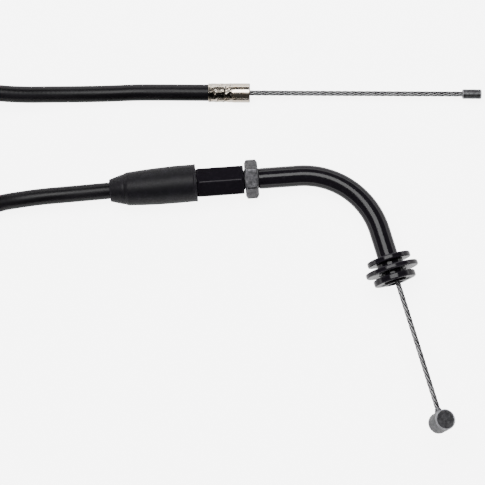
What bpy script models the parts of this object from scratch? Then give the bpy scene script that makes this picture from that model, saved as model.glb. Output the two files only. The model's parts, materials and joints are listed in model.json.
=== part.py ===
"""Motorcycle throttle cable: bent-elbow adjuster end, coiled free casing and bare carburettor end.

Metres, +Z up.  The cable lies on the plane Z = 0.  +X runs along the adjuster, from the casing
towards the elbow, and the origin is under the middle of the two rigid ends.
"""

from math import cos, pi, radians, sin, sqrt

import bmesh
import bpy
from mathutils import Matrix, Vector

MM = 0.001

# General clearances and facet counts
LAYER_GAP = 0.1 * MM           # between the nested tubes of the casing
SLIP_GAP = 0.15 * MM           # between pieces that fit into each other
FACE_GAP = 0.3 * MM            # between faces that meet end to end
SIDES = 24                     # facets around a turned piece
WIRE_SIDES = 12                # facets around the inner wire
MERGE = 0.00001                # weld distance of a turned profile
REACH = 1.0 * MM               # how far a cutter runs past what it cuts

# Layout
AXIS_X = -20.0 * MM            # start of the adjuster hexagon
AXIS_Y = 24.4 * MM             # adjuster axis
SURFACE_GAP = 0.03 * MM        # between the widest ring of a piece and the plane it lies on
CARB_FACE = (-2.25 * MM, 50.36 * MM)   # middle of the front face of the carburettor ferrule
CARB_HEADING = radians(-4.3)   # direction of the carburettor end, from +X
ELBOW_ROLL = radians(9.0)      # the outlet of the elbow is raised by this much about the adjuster
CASING_TILT = radians(1.2)     # play of the casing in the adjuster, as it lies

# Bowden cable
CASING_DIAMETER = 5.0 * MM
SHEATH_WALL = 0.5 * MM
LINER_WALL = 0.2 * MM          # the steel winding fills what is left between liner and sheath
WIRE_DIAMETER = 1.6 * MM
WIRE_PLAY = 0.3 * MM           # radial, between the inner wire and what it slides through
STROKE = 20.0 * MM             # travel of the inner wire, idle to wide open

# End cap of the casing, inside the adjuster
CAP_LENGTH = 7.2 * MM
CAP_WALL = 0.4 * MM
CAP_FACE = 0.6 * MM
CAP_OVERHANG = 0.7 * MM        # how far the cap reaches past the start of the hexagon
CASING_PIVOT = -3.5 * MM       # where the casing's axis crosses the adjuster's

# Adjuster sleeve and lock nut, on the thread of the tube
THREAD_PLAY = 0.25 * MM        # radial, between the tube's thread and what runs on it
SLEEVE_WALL = 0.85 * MM        # from the thread's bore to a flat
SLEEVE_HEX_LENGTH = 14.1 * MM
SLEEVE_END_SLOPE = 1.0         # of the turned ends, along the axis for each step outwards
SHANK_WALL = 0.8 * MM
SHANK_LENGTH = 8.0 * MM
SEAT_THICKNESS = 0.8 * MM
NUT_WALL = 1.75 * MM           # from the thread's bore to a flat
NUT_THICKNESS = 4.0 * MM
NUT_END_SLOPE = 0.58

# Rubber boot, over the shank and the casing
BOOT_LENGTH = 26.0 * MM
BOOT_REACH = -0.2 * MM         # its wide end, from the start of the hexagon
BOOT_TRAVEL = 20.0 * MM        # how far it is pushed back along the casing to reach the adjuster
BOOT_WALL = 1.3 * MM           # over the shank
BOOT_MOUTH_WALL = 0.5 * MM     # over the casing, at its narrow end
BOOT_TAPER = 0.62 * MM         # on the radius, from its wide end to its shoulder
BOOT_CONE_LENGTH = 5.7 * MM    # from the mouth to the shoulder
BOOT_BULGE_PLACE = 15.0 * MM   # from the mouth to where a quarter of the taper is left
BOOT_GRIP_LENGTH = 6.0 * MM    # of the narrow bore
BOOT_WALL_START = 12.0 * MM    # from the mouth to the start of the wide bore
BOOT_ROUND = 0.5 * MM

# Elbow tube
TUBE_DIAMETER = 6.3 * MM
TUBE_WALL = 0.8 * MM
TUBE_START = 2.4 * MM          # inner end of the threaded tube, from the start of the hexagon
BEND_START = 30.5 * MM
BEND_RADIUS = 23.6 * MM
BEND_ANGLE = radians(77.0)
BEND_STEPS = 14
OUTLET_LENGTH = 16.65 * MM     # straight stretch after the bend
TUBE_BEVEL = 8                 # bevel resolution of the curve
TUBE_SIDES = 2 * TUBE_BEVEL + 4

# Flange at the outlet, distances from the end of the bend
COLLAR_START = 8.45 * MM
COLLAR_THICKNESS = 1.6 * MM
COLLAR_HEIGHT = 2.6 * MM       # over the hub
DISC_START = 11.6 * MM
DISC_THICKNESS = 1.5 * MM
DISC_HEIGHT = 4.0 * MM
HUB_WALL = 0.75 * MM
END_FLANGE_THICKNESS = 1.9 * MM
END_FLANGE_HEIGHT = 2.4 * MM
END_FLANGE_HUB = 1.1 * MM      # length of its hub, towards the disc
RIM_ROUND = 0.25 * MM

# Throttle nipple, a cross barrel
WIRE_OFFSET = 0.5 * MM         # the wire lies against the outer wall of the bend
BARREL_DISTANCE = 60.05 * MM   # middle of the barrel, from the end of the bend
BARREL_RADIUS = 3.15 * MM
BARREL_LENGTH = 6.5 * MM
BARREL_ROLL = radians(19.0)
BARREL_CHAMFER = 0.3 * MM
SOLDER_LENGTH = 1.3 * MM
SOLDER_WALL = 0.4 * MM

# Carburettor end
FERRULE_LENGTH = 12.5 * MM
FERRULE_CRIMP_LENGTH = 7.3 * MM
FERRULE_WALL = 0.3 * MM
CRIMP_DEPTH = 0.1 * MM
FERRULE_FACE = 0.6 * MM
FERRULE_CHAMFER = 0.2 * MM
CARB_STUB_SPARE = 4.0 * MM     # straight casing behind the end of the drawn-in wire
CARB_WIRE_LENGTH = 63.8 * MM   # bare wire between ferrule and nipple
CARB_WIRE_HIDDEN = 3.0 * MM
CARB_NIPPLE_LENGTH = 5.8 * MM
CARB_NIPPLE_WALL = 0.55 * MM
CARB_NIPPLE_CHAMFER = 0.25 * MM
CARB_NIPPLE_DEPTH = 3.5 * MM   # blind hole that takes the wire

# Free casing, lying on the plane: route points and coil
COIL_CENTRE = (-116.75 * MM, 39.4 * MM)
COIL_MEAN_RADIUS = 25.4 * MM
TURN_GAP = 0.1 * MM            # from one turn to the next
COIL_ACROSS = 3                # turns side by side
COIL_LAYERS = 2
THROTTLE_RUN_SPARE = 0.8 * MM  # straight casing behind the boot when it is pushed back
THROTTLE_RUN_ROUTE = (         # to the coil: (x, y) in mm, and the share of its height left
    (-73.0, 23.1, 0.93), (-79.06, 22.51, 0.5), (-86.19, 20.58, 0.12), (-93.88, 16.77, 0.0),
    (-101.56, 12.47, 0.0), (-109.09, 9.74, 0.0), (-116.75, 8.9, 0.0))
CARB_RUN_ROUTE = (             # to the coil: (x, y) in mm, and the layer it has risen to
    (-36.5, 52.85, 0.0), (-44.2, 53.1, 0.0), (-53.0, 53.5, 0.08), (-62.1, 54.0, 0.3),
    (-70.04, 54.46, 0.6), (-78.15, 55.51, 0.88), (-85.8, 57.81, 1.0), (-93.45, 61.54, 1.0),
    (-101.2, 66.04, 1.0), (-108.71, 68.89, 1.0), (-116.75, 69.9, 1.0))

# Sizes that follow from the ones above
CASING_RADIUS = CASING_DIAMETER / 2
WIRE_RADIUS = WIRE_DIAMETER / 2
WIRE_HOLE = WIRE_RADIUS + WIRE_PLAY
LINER_RADIUS = WIRE_HOLE + LINER_WALL
ARMOUR_BORE = LINER_RADIUS + LAYER_GAP
ARMOUR_RADIUS = CASING_RADIUS - SHEATH_WALL - LAYER_GAP
CAP_BORE = CASING_RADIUS + SLIP_GAP
CAP_RADIUS = CAP_BORE + CAP_WALL
CAP_SEAT = CAP_RADIUS + SLIP_GAP
SHANK_RADIUS = CAP_SEAT + SHANK_WALL
TUBE_RADIUS = TUBE_DIAMETER / 2
THREAD_BORE = TUBE_RADIUS + THREAD_PLAY
SLEEVE_FLATS = 2 * (THREAD_BORE + SLEEVE_WALL)
NUT_FLATS = 2 * (THREAD_BORE + NUT_WALL)
BOOT_GRIP = CASING_RADIUS + FACE_GAP
BOOT_BORE = SHANK_RADIUS + FACE_GAP
BOOT_RADIUS = BOOT_BORE + BOOT_WALL
FLANGE_BORE = TUBE_RADIUS + SLIP_GAP
HUB_RADIUS = FLANGE_BORE + HUB_WALL
FERRULE_BORE = CASING_RADIUS + LAYER_GAP
FERRULE_RADIUS = FERRULE_BORE + FERRULE_WALL
NIPPLE_HOLE = WIRE_RADIUS + LAYER_GAP
CARB_NIPPLE_RADIUS = NIPPLE_HOLE + CARB_NIPPLE_WALL
CARB_STUB_LENGTH = STROKE + CARB_WIRE_HIDDEN + CARB_STUB_SPARE
THROTTLE_RUN_START = BOOT_REACH - BOOT_LENGTH - BOOT_TRAVEL - THROTTLE_RUN_SPARE
COIL_PITCH = CASING_DIAMETER + TURN_GAP
AXIS_Z = BOOT_RADIUS + SURFACE_GAP
CARB_Z = FERRULE_RADIUS + SURFACE_GAP
COIL_Z = CASING_RADIUS + SURFACE_GAP
RUN_SPACING = 2 * CASING_DIAMETER      # between the points of a run


def hidden_in_bend():
    """How far the straight wire can reach back into the bend before it meets the outer wall."""
    bore = (TUBE_RADIUS - TUBE_WALL) * cos(pi / TUBE_SIDES)
    room = bore - WIRE_RADIUS - WIRE_OFFSET - SLIP_GAP
    return sqrt(2 * BEND_RADIUS * room)


# Materials

def make_material(name, colour, roughness, metallic):
    material = bpy.data.materials.new(name)
    material.use_nodes = True
    shader = material.node_tree.nodes["Principled BSDF"]
    shader.inputs["Base Color"].default_value = (*colour, 1.0)
    shader.inputs["Roughness"].default_value = roughness
    shader.inputs["Metallic"].default_value = metallic
    material.diffuse_color = (*colour, 1.0)
    return material


def make_materials():
    return {
        "casing_vinyl": make_material("casing_vinyl", (0.012, 0.012, 0.014), 0.38, 0.0),
        "spring_steel": make_material("spring_steel", (0.42, 0.42, 0.43), 0.35, 1.0),
        "liner_nylon": make_material("liner_nylon", (0.75, 0.74, 0.68), 0.45, 0.0),
        "boot_rubber": make_material("boot_rubber", (0.028, 0.028, 0.031), 0.72, 0.0),
        "black_paint": make_material("black_paint", (0.008, 0.008, 0.01), 0.16, 0.0),
        "nut_zinc": make_material("nut_zinc", (0.17, 0.175, 0.18), 0.45, 0.9),
        "nickel_plate": make_material("nickel_plate", (0.62, 0.59, 0.54), 0.18, 1.0),
        "wire_steel": make_material("wire_steel", (0.38, 0.38, 0.39), 0.32, 1.0),
        "solder": make_material("solder", (0.5, 0.5, 0.51), 0.4, 1.0),
        "cast_zinc": make_material("cast_zinc", (0.3, 0.3, 0.31), 0.5, 0.8),
        "nipple_steel": make_material("nipple_steel", (0.1, 0.1, 0.105), 0.4, 0.9),
    }


# Scene building blocks

def clear_scene():
    for item in list(bpy.data.objects):
        bpy.data.objects.remove(item, do_unlink=True)


def new_collection(name):
    collection = bpy.data.collections.new(name)
    bpy.context.scene.collection.children.link(collection)
    return collection


def new_frame(name, collection, parent, location, rotation=(0.0, 0.0, 0.0)):
    frame = bpy.data.objects.new(name, None)
    frame.empty_display_size = 5 * MM
    frame.location = location
    frame.rotation_euler = rotation
    frame.parent = parent
    collection.objects.link(frame)
    return frame


def new_object(name, mesh, collection, parent, material=None, location=(0.0, 0.0, 0.0)):
    item = bpy.data.objects.new(name, mesh)
    item.location = location
    item.parent = parent
    if material:
        mesh.materials.append(material)
    collection.objects.link(item)
    return item


def make_cutter(item):
    item.hide_render = True
    item.display_type = "WIRE"
    return item


def turned(name, profile, closed, collection, parent, material=None, location=(0.0, 0.0, 0.0),
           sides=SIDES):
    """A piece turned about its local Z.  The profile, (radius, z), runs down its outer side."""
    points = [(r, 0.0, z) for r, z in profile]
    edges = [(i, i + 1) for i in range(len(points) - 1)]
    if closed:
        edges.append((len(points) - 1, 0))
    mesh = bpy.data.meshes.new(name)
    mesh.from_pydata(points, edges, [])
    item = new_object(name, mesh, collection, parent, material, location)
    screw = item.modifiers.new("Turn", "SCREW")
    screw.axis = "Z"
    screw.angle = 2 * pi
    screw.steps = sides
    screw.render_steps = sides
    screw.use_merge_vertices = True
    screw.merge_threshold = MERGE
    screw.use_smooth_shade = True
    return item


def tube_profile(outer, inner, start, end):
    return [(outer, end), (outer, start), (inner, start), (inner, end)]


def rod_profile(radius, start, end, chamfer=0.0):
    if not chamfer:
        return [(0.0, end), (radius, end), (radius, start), (0.0, start)]
    return [(0.0, end), (radius - chamfer, end), (radius, end - chamfer),
            (radius, start + chamfer), (radius - chamfer, start), (0.0, start)]


def hexagon(name, across_flats, length, collection, parent, material, location, turn):
    """A hexagonal prism along local Z, from its base at the given location."""
    mesh = bpy.data.meshes.new(name)
    shape = bmesh.new()
    corner = across_flats / sqrt(3)
    bmesh.ops.create_cone(shape, cap_ends=True, segments=6, radius1=corner, radius2=corner,
                          depth=length)
    bmesh.ops.translate(shape, verts=shape.verts, vec=(0.0, 0.0, length / 2))
    bmesh.ops.rotate(shape, verts=shape.verts, cent=(0.0, 0.0, 0.0),
                     matrix=Matrix.Rotation(turn, 3, "Z"))
    shape.to_mesh(mesh)
    shape.free()
    return new_object(name, mesh, collection, parent, material, location)


def chamfered_hexagon(name, across_flats, length, slope, turn, collection, cutters, parent,
                      material, start=0.0):
    """A hexagonal bar whose corners are turned off at both ends, down to its flats."""
    bar = hexagon(name, across_flats, length, collection, parent, material,
                  (0.0, 0.0, start), turn)
    flat = across_flats / 2
    wide = across_flats / sqrt(3) + MM
    depth = (wide - flat) * slope
    tip = flat - REACH / slope
    envelope = make_cutter(turned(
        f"{name}_envelope",
        [(0.0, length + REACH), (tip, length + REACH), (wide, length - depth), (wide, depth),
         (tip, -REACH), (0.0, -REACH)], False, cutters, parent, None, (0.0, 0.0, start)))
    boolean(bar, envelope, "INTERSECT")
    return bar


def boolean(item, cutter, operation):
    cut = item.modifiers.new(operation.title(), "BOOLEAN")
    cut.operation = operation
    cut.solver = "EXACT"
    cut.object = cutter


def poly_curve(name, points, radius, bevel, caps, collection, parent, material=None):
    curve = bpy.data.curves.new(name, "CURVE")
    curve.dimensions = "3D"
    curve.bevel_depth = radius
    curve.bevel_resolution = bevel
    curve.use_fill_caps = caps
    spline = curve.splines.new("POLY")
    spline.points.add(len(points) - 1)
    for knot, point in zip(spline.points, points):
        knot.co = (*point, 1.0)
    spline.use_smooth = True
    return new_object(name, curve, collection, parent, material)


def curve_to_mesh(item, collection):
    """Replaces a curve by its mesh, with the caps welded on."""
    name = item.name
    bpy.context.view_layer.update()
    evaluated = item.evaluated_get(bpy.context.evaluated_depsgraph_get())
    mesh = bpy.data.meshes.new_from_object(evaluated)
    shape = bmesh.new()
    shape.from_mesh(mesh)
    bmesh.ops.remove_doubles(shape, verts=shape.verts, dist=MERGE)
    shape.to_mesh(mesh)
    shape.free()
    place = item.matrix_world.copy()
    bpy.data.objects.remove(item, do_unlink=True)
    made = bpy.data.objects.new(name, mesh)
    made.matrix_world = place
    collection.objects.link(made)
    return made


def smooth_route(route, spacing):
    """Points about one spacing apart on a smooth curve through the route's own points."""
    knots = [2 * route[0] - route[1], *route, 2 * route[-1] - route[-2]]
    points = []
    for before, start, end, after in zip(knots, knots[1:], knots[2:], knots[3:]):
        steps = max(1, round((end - start).length / spacing))
        for step in range(steps):
            t = step / steps
            points.append(0.5 * (2 * start + (end - before) * t
                                 + (2 * before - 5 * start + 4 * end - after) * t ** 2
                                 + (3 * start - before - 3 * end + after) * t ** 3))
    points.append(route[-1].copy())
    return points


# Frames: the adjuster axis, the casing in it, the elbow, its outlet and the carburettor end

def make_frames(collection):
    frames = {}
    along_x = (0.0, pi / 2, 0.0)
    frames["adjuster"] = new_frame(
        "adjuster_axis", collection, None, (AXIS_X, AXIS_Y, AXIS_Z), along_x)
    frames["casing"] = new_frame(
        "casing_axis", collection, frames["adjuster"], (0.0, 0.0, CASING_PIVOT),
        (-CASING_TILT, 0.0, 0.0))
    frames["elbow"] = new_frame(
        "elbow_plane", collection, None, (AXIS_X, AXIS_Y, AXIS_Z), (-ELBOW_ROLL, 0.0, 0.0))
    bend_end = (BEND_START + BEND_RADIUS * sin(BEND_ANGLE),
                -BEND_RADIUS * (1 - cos(BEND_ANGLE)), 0.0)
    outlet = Matrix(((0.0, -sin(BEND_ANGLE), cos(BEND_ANGLE)),
                     (0.0, -cos(BEND_ANGLE), -sin(BEND_ANGLE)),
                     (1.0, 0.0, 0.0)))
    frames["outlet"] = new_frame(
        "outlet_axis", collection, frames["elbow"], bend_end, outlet.to_euler())
    frames["carb"] = new_frame(
        "carburettor_axis", collection, None, (*CARB_FACE, CARB_Z), (0.0, pi / 2, CARB_HEADING))
    return frames


# Casing layers, used at both ends

def make_casing_end(prefix, start, end, frame, collection, materials):
    """The straight end of the casing: vinyl sheath, steel winding and nylon liner."""
    layers = (("sheath", CASING_RADIUS, CASING_RADIUS - SHEATH_WALL, "casing_vinyl"),
              ("armour", ARMOUR_RADIUS, ARMOUR_BORE, "spring_steel"),
              ("liner", LINER_RADIUS, WIRE_HOLE, "liner_nylon"))
    for layer, outer, inner, material in layers:
        turned(f"{prefix}_casing_{layer}", tube_profile(outer, inner, start, end), True,
               collection, frame, materials[material])


# Throttle end, from the casing to the elbow

def make_end_cap(frames, collection, materials):
    back = CAP_OVERHANG - CAP_LENGTH
    face = CAP_OVERHANG - CAP_FACE
    profile = [(CAP_RADIUS, CAP_OVERHANG), (CAP_RADIUS, back), (CAP_BORE, back), (CAP_BORE, face),
               (WIRE_HOLE, face), (WIRE_HOLE, CAP_OVERHANG)]
    turned("casing_end_cap", profile, True, collection, frames["adjuster"],
           materials["nickel_plate"])


def make_boot(frames, collection, materials):
    wide_end = BOOT_REACH - CASING_PIVOT
    mouth = wide_end - BOOT_LENGTH
    shoulder = BOOT_RADIUS - BOOT_TAPER
    profile = [
        (BOOT_RADIUS - BOOT_ROUND, wide_end),
        (BOOT_RADIUS, wide_end - BOOT_ROUND),
        (BOOT_RADIUS - BOOT_TAPER / 4, mouth + BOOT_BULGE_PLACE),
        (shoulder, mouth + BOOT_CONE_LENGTH),
        (BOOT_GRIP + BOOT_MOUTH_WALL, mouth),
        (BOOT_GRIP, mouth),
        (BOOT_GRIP, mouth + BOOT_GRIP_LENGTH),
        (BOOT_BORE, mouth + BOOT_WALL_START),
        (BOOT_BORE, wide_end),
    ]
    turned("rubber_boot", profile, True, collection, frames["casing"], materials["boot_rubber"])


def make_sleeve(frames, collection, cutters, materials):
    """Hexagon with a round shank behind it, bored for the cap and for the thread."""
    axis = frames["adjuster"]
    sleeve = chamfered_hexagon(
        "adjuster_sleeve", SLEEVE_FLATS, SLEEVE_HEX_LENGTH, SLEEVE_END_SLOPE, radians(30),
        collection, cutters, axis, materials["black_paint"])
    shank = make_cutter(turned(
        "sleeve_shank", rod_profile(SHANK_RADIUS, -SHANK_LENGTH, SEAT_THICKNESS), False,
        cutters, axis))
    boolean(sleeve, shank, "UNION")
    seat = CAP_OVERHANG + FACE_GAP
    front = SLEEVE_HEX_LENGTH + REACH
    back = -SHANK_LENGTH - REACH
    bore = make_cutter(turned(
        "sleeve_bore",
        [(0.0, front), (THREAD_BORE, front), (THREAD_BORE, seat + SEAT_THICKNESS),
         (WIRE_HOLE, seat + SEAT_THICKNESS), (WIRE_HOLE, seat), (CAP_SEAT, seat),
         (CAP_SEAT, back), (0.0, back)], False, cutters, axis))
    boolean(sleeve, bore, "DIFFERENCE")


def make_lock_nut(frames, collection, cutters, materials):
    axis = frames["adjuster"]
    start = SLEEVE_HEX_LENGTH + FACE_GAP
    nut = chamfered_hexagon(
        "lock_nut", NUT_FLATS, NUT_THICKNESS, NUT_END_SLOPE, 0.0, collection, cutters, axis,
        materials["nut_zinc"], start)
    bore = make_cutter(turned(
        "nut_bore", rod_profile(THREAD_BORE, start - REACH, start + NUT_THICKNESS + REACH), False,
        cutters, axis))
    boolean(nut, bore, "DIFFERENCE")


def elbow_path():
    """Middle line of the elbow in its own plane, from its threaded end to its outlet."""
    points = [Vector((TUBE_START, 0.0, 0.0))]
    for step in range(BEND_STEPS + 1):
        angle = BEND_ANGLE * step / BEND_STEPS
        points.append(Vector((BEND_START + BEND_RADIUS * sin(angle),
                              -BEND_RADIUS * (1 - cos(angle)), 0.0)))
    outward = Vector((cos(BEND_ANGLE), -sin(BEND_ANGLE), 0.0))
    points.append(points[-1] + outward * OUTLET_LENGTH)
    return points


def make_elbow(frames, collection, materials):
    line = poly_curve("elbow_tube", elbow_path(), TUBE_RADIUS, TUBE_BEVEL, False,
                      collection, frames["elbow"])
    tube = curve_to_mesh(line, collection)
    tube.data.materials.append(materials["black_paint"])
    wall = tube.modifiers.new("Wall", "SOLIDIFY")
    wall.thickness = TUBE_WALL
    wall.offset = -1.0


def flange_rim(radius, start, end):
    """The outer side of one disc, top to bottom, with its edges broken."""
    return [(radius - RIM_ROUND, end), (radius, end - RIM_ROUND), (radius, start + RIM_ROUND),
            (radius - RIM_ROUND, start)]


def make_flange(frames, collection, materials):
    """A turned bush with two discs, and the end flange that the lip of the tube holds."""
    axis = frames["outlet"]
    disc_end = DISC_START + DISC_THICKNESS
    collar_end = COLLAR_START + COLLAR_THICKNESS
    bush = [*flange_rim(HUB_RADIUS + DISC_HEIGHT, DISC_START, disc_end),
            (HUB_RADIUS, DISC_START), (HUB_RADIUS, collar_end),
            *flange_rim(HUB_RADIUS + COLLAR_HEIGHT, COLLAR_START, collar_end),
            (FLANGE_BORE, COLLAR_START), (FLANGE_BORE, disc_end)]
    turned("flange_bush", bush, True, collection, axis, materials["black_paint"])
    hub_start = disc_end + SLIP_GAP
    flange_start = disc_end + END_FLANGE_HUB
    flange_end = flange_start + END_FLANGE_THICKNESS
    end_flange = [*flange_rim(HUB_RADIUS + END_FLANGE_HEIGHT, flange_start, flange_end),
                  (HUB_RADIUS, flange_start), (HUB_RADIUS, hub_start), (FLANGE_BORE, hub_start),
                  (FLANGE_BORE, flange_end)]
    turned("end_flange", end_flange, True, collection, axis, materials["black_paint"])


# Inner wire and barrel nipple of the throttle end

def make_throttle_wire(frames, collection, cutters, materials):
    axis = new_frame("wire_axis", collection, frames["outlet"], (0.0, -WIRE_OFFSET, 0.0))
    turned("throttle_wire", rod_profile(WIRE_RADIUS, -hidden_in_bend(), BARREL_DISTANCE), False,
           collection, axis, materials["wire_steel"], sides=WIRE_SIDES)
    barrel_side = BARREL_DISTANCE - BARREL_RADIUS - FACE_GAP
    ring = WIRE_RADIUS + SLIP_GAP
    turned("throttle_wire_solder",
           [(ring + SOLDER_WALL, barrel_side), (ring + LAYER_GAP, barrel_side - SOLDER_LENGTH),
            (ring, barrel_side - SOLDER_LENGTH), (ring, barrel_side)], True,
           collection, axis, materials["solder"], sides=WIRE_SIDES)
    barrel_frame = new_frame("barrel_axis", collection, axis, (0.0, 0.0, BARREL_DISTANCE),
                             (0.0, pi / 2, -BARREL_ROLL))
    barrel = turned("barrel_nipple",
                    rod_profile(BARREL_RADIUS, -BARREL_LENGTH / 2, BARREL_LENGTH / 2,
                                BARREL_CHAMFER), False,
                    collection, barrel_frame, materials["cast_zinc"])
    hole = make_cutter(turned(
        "barrel_hole",
        rod_profile(ring, BARREL_DISTANCE - BARREL_RADIUS - REACH, BARREL_DISTANCE + FACE_GAP), False,
        cutters, axis, sides=WIRE_SIDES))
    boolean(barrel, hole, "DIFFERENCE")


# Carburettor end

def make_ferrule(frames, collection, materials):
    crimp_end = FERRULE_CRIMP_LENGTH - FERRULE_LENGTH
    crimp = FERRULE_RADIUS - CRIMP_DEPTH
    profile = [(FERRULE_RADIUS - FERRULE_CHAMFER, 0.0), (FERRULE_RADIUS, -FERRULE_CHAMFER),
               (FERRULE_RADIUS, crimp_end), (crimp, crimp_end), (crimp, -FERRULE_LENGTH),
               (FERRULE_BORE, -FERRULE_LENGTH), (FERRULE_BORE, -FERRULE_FACE),
               (WIRE_HOLE, -FERRULE_FACE), (WIRE_HOLE, 0.0)]
    turned("carb_ferrule", profile, True, collection, frames["carb"], materials["nickel_plate"])


def make_carb_wire(frames, collection, materials):
    axis = frames["carb"]
    nipple_end = CARB_WIRE_LENGTH + CARB_NIPPLE_LENGTH
    bottom = CARB_WIRE_LENGTH + CARB_NIPPLE_DEPTH
    turned("carb_wire",
           rod_profile(WIRE_RADIUS, -CARB_WIRE_HIDDEN, bottom - FACE_GAP), False,
           collection, axis, materials["wire_steel"], sides=WIRE_SIDES)
    turned("carb_nipple",
           [(0.0, nipple_end), (CARB_NIPPLE_RADIUS - CARB_NIPPLE_CHAMFER, nipple_end),
            (CARB_NIPPLE_RADIUS, nipple_end - CARB_NIPPLE_CHAMFER),
            (CARB_NIPPLE_RADIUS, CARB_WIRE_LENGTH + CARB_NIPPLE_CHAMFER),
            (CARB_NIPPLE_RADIUS - CARB_NIPPLE_CHAMFER, CARB_WIRE_LENGTH),
            (NIPPLE_HOLE, CARB_WIRE_LENGTH), (NIPPLE_HOLE, bottom), (0.0, bottom)], False,
           collection, axis, materials["nipple_steel"])


# Free casing

def make_coil(collection, cutters, materials):
    """The outer shape of the coil, and the same ring a gap larger, which trims the two runs."""
    half_width = (COIL_ACROSS - 1) * COIL_PITCH / 2 + CASING_RADIUS
    height = (COIL_LAYERS - 1) * COIL_PITCH + 2 * CASING_RADIUS
    outer = COIL_MEAN_RADIUS + half_width
    inner = COIL_MEAN_RADIUS - half_width
    round_edge = CASING_RADIUS / 2
    ring = [(outer - round_edge, height), (outer, height - round_edge), (outer, round_edge),
            (outer - round_edge, 0.0), (inner + round_edge, 0.0), (inner, round_edge),
            (inner, height - round_edge), (inner + round_edge, height)]
    place = (*COIL_CENTRE, SURFACE_GAP)
    turned("casing_coil", ring, True, collection, None, materials["casing_vinyl"], place, 40)
    trim = [(outer + FACE_GAP, height + MM), (outer + FACE_GAP, -MM),
            (inner - FACE_GAP, -MM), (inner - FACE_GAP, height + MM)]
    trimmer = make_cutter(turned("coil_trim", trim, True, cutters, None, None, place, 40))
    return trimmer, outer


def make_run(name, route, trimmer, ring_radius, collection, materials):
    """The casing between a straight end and the coil, trimmed where it meets the coil."""
    centre = Vector(COIL_CENTRE)
    limit = ring_radius + FACE_GAP
    outside = []
    points = smooth_route(route, RUN_SPACING)
    for point, following in zip(points, points[1:]):
        outside.append(point)
        here = (point.xy - centre).length
        ahead = (following.xy - centre).length
        if ahead < limit:
            outside.append(point.lerp(following, (here - limit) / (here - ahead)))
            break
    line = poly_curve(name, outside, CASING_RADIUS, 2, True, collection, None)
    run = curve_to_mesh(line, collection)
    run.data.materials.append(materials["casing_vinyl"])
    boolean(run, trimmer, "DIFFERENCE")


def casing_point(distance):
    """A point of the casing's straight throttle end, from the start of the hexagon."""
    back = distance - CASING_PIVOT
    return Vector((AXIS_X + CASING_PIVOT + back * cos(CASING_TILT),
                   AXIS_Y + back * sin(CASING_TILT), AXIS_Z))


def carb_point(distance):
    """A point of the carburettor end's axis, from the front face of the ferrule."""
    return Vector((CARB_FACE[0] + distance * cos(CARB_HEADING),
                   CARB_FACE[1] + distance * sin(CARB_HEADING), CARB_Z))


def make_free_casing(collection, cutters, materials):
    trimmer, ring_radius = make_coil(collection, cutters, materials)
    start = casing_point(THROTTLE_RUN_START - FACE_GAP)
    throttle_route = [start]
    for x, y, share in THROTTLE_RUN_ROUTE:
        throttle_route.append(Vector((x * MM, y * MM, COIL_Z + (start.z - COIL_Z) * share)))
    make_run("casing_run_throttle", throttle_route, trimmer, ring_radius, collection, materials)
    carb_route = [carb_point(-CARB_STUB_LENGTH - FACE_GAP)]
    for x, y, layer in CARB_RUN_ROUTE:
        carb_route.append(Vector((x * MM, y * MM, COIL_Z + layer * COIL_PITCH)))
    make_run("casing_run_carb", carb_route, trimmer, ring_radius, collection, materials)


def main():
    clear_scene()
    collection = new_collection("throttle_cable")
    cutters = new_collection("cutters")
    materials = make_materials()
    frames = make_frames(collection)
    make_casing_end("throttle", THROTTLE_RUN_START - CASING_PIVOT,
                    CAP_OVERHANG - CAP_FACE - FACE_GAP - CASING_PIVOT,
                    frames["casing"], collection, materials)
    make_end_cap(frames, collection, materials)
    make_boot(frames, collection, materials)
    make_sleeve(frames, collection, cutters, materials)
    make_lock_nut(frames, collection, cutters, materials)
    make_elbow(frames, collection, materials)
    make_flange(frames, collection, materials)
    make_throttle_wire(frames, collection, cutters, materials)
    make_casing_end("carb", -CARB_STUB_LENGTH, -FERRULE_FACE - FACE_GAP, frames["carb"],
                    collection, materials)
    make_ferrule(frames, collection, materials)
    make_carb_wire(frames, collection, materials)
    make_free_casing(collection, cutters, materials)


if __name__ == "__main__":
    main()
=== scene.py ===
"""Motorcycle throttle cable: the looks of every piece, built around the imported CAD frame.

Everything is in the frame's own metres, +Z up.  Shapes are drawn in millimetres along their own
axis, and their place goes into the mesh.
"""

import json
from math import cos, pi, radians, sin, sqrt, tan

import bpy
import numpy as np
from mathutils import Matrix, Vector, noise

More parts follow.
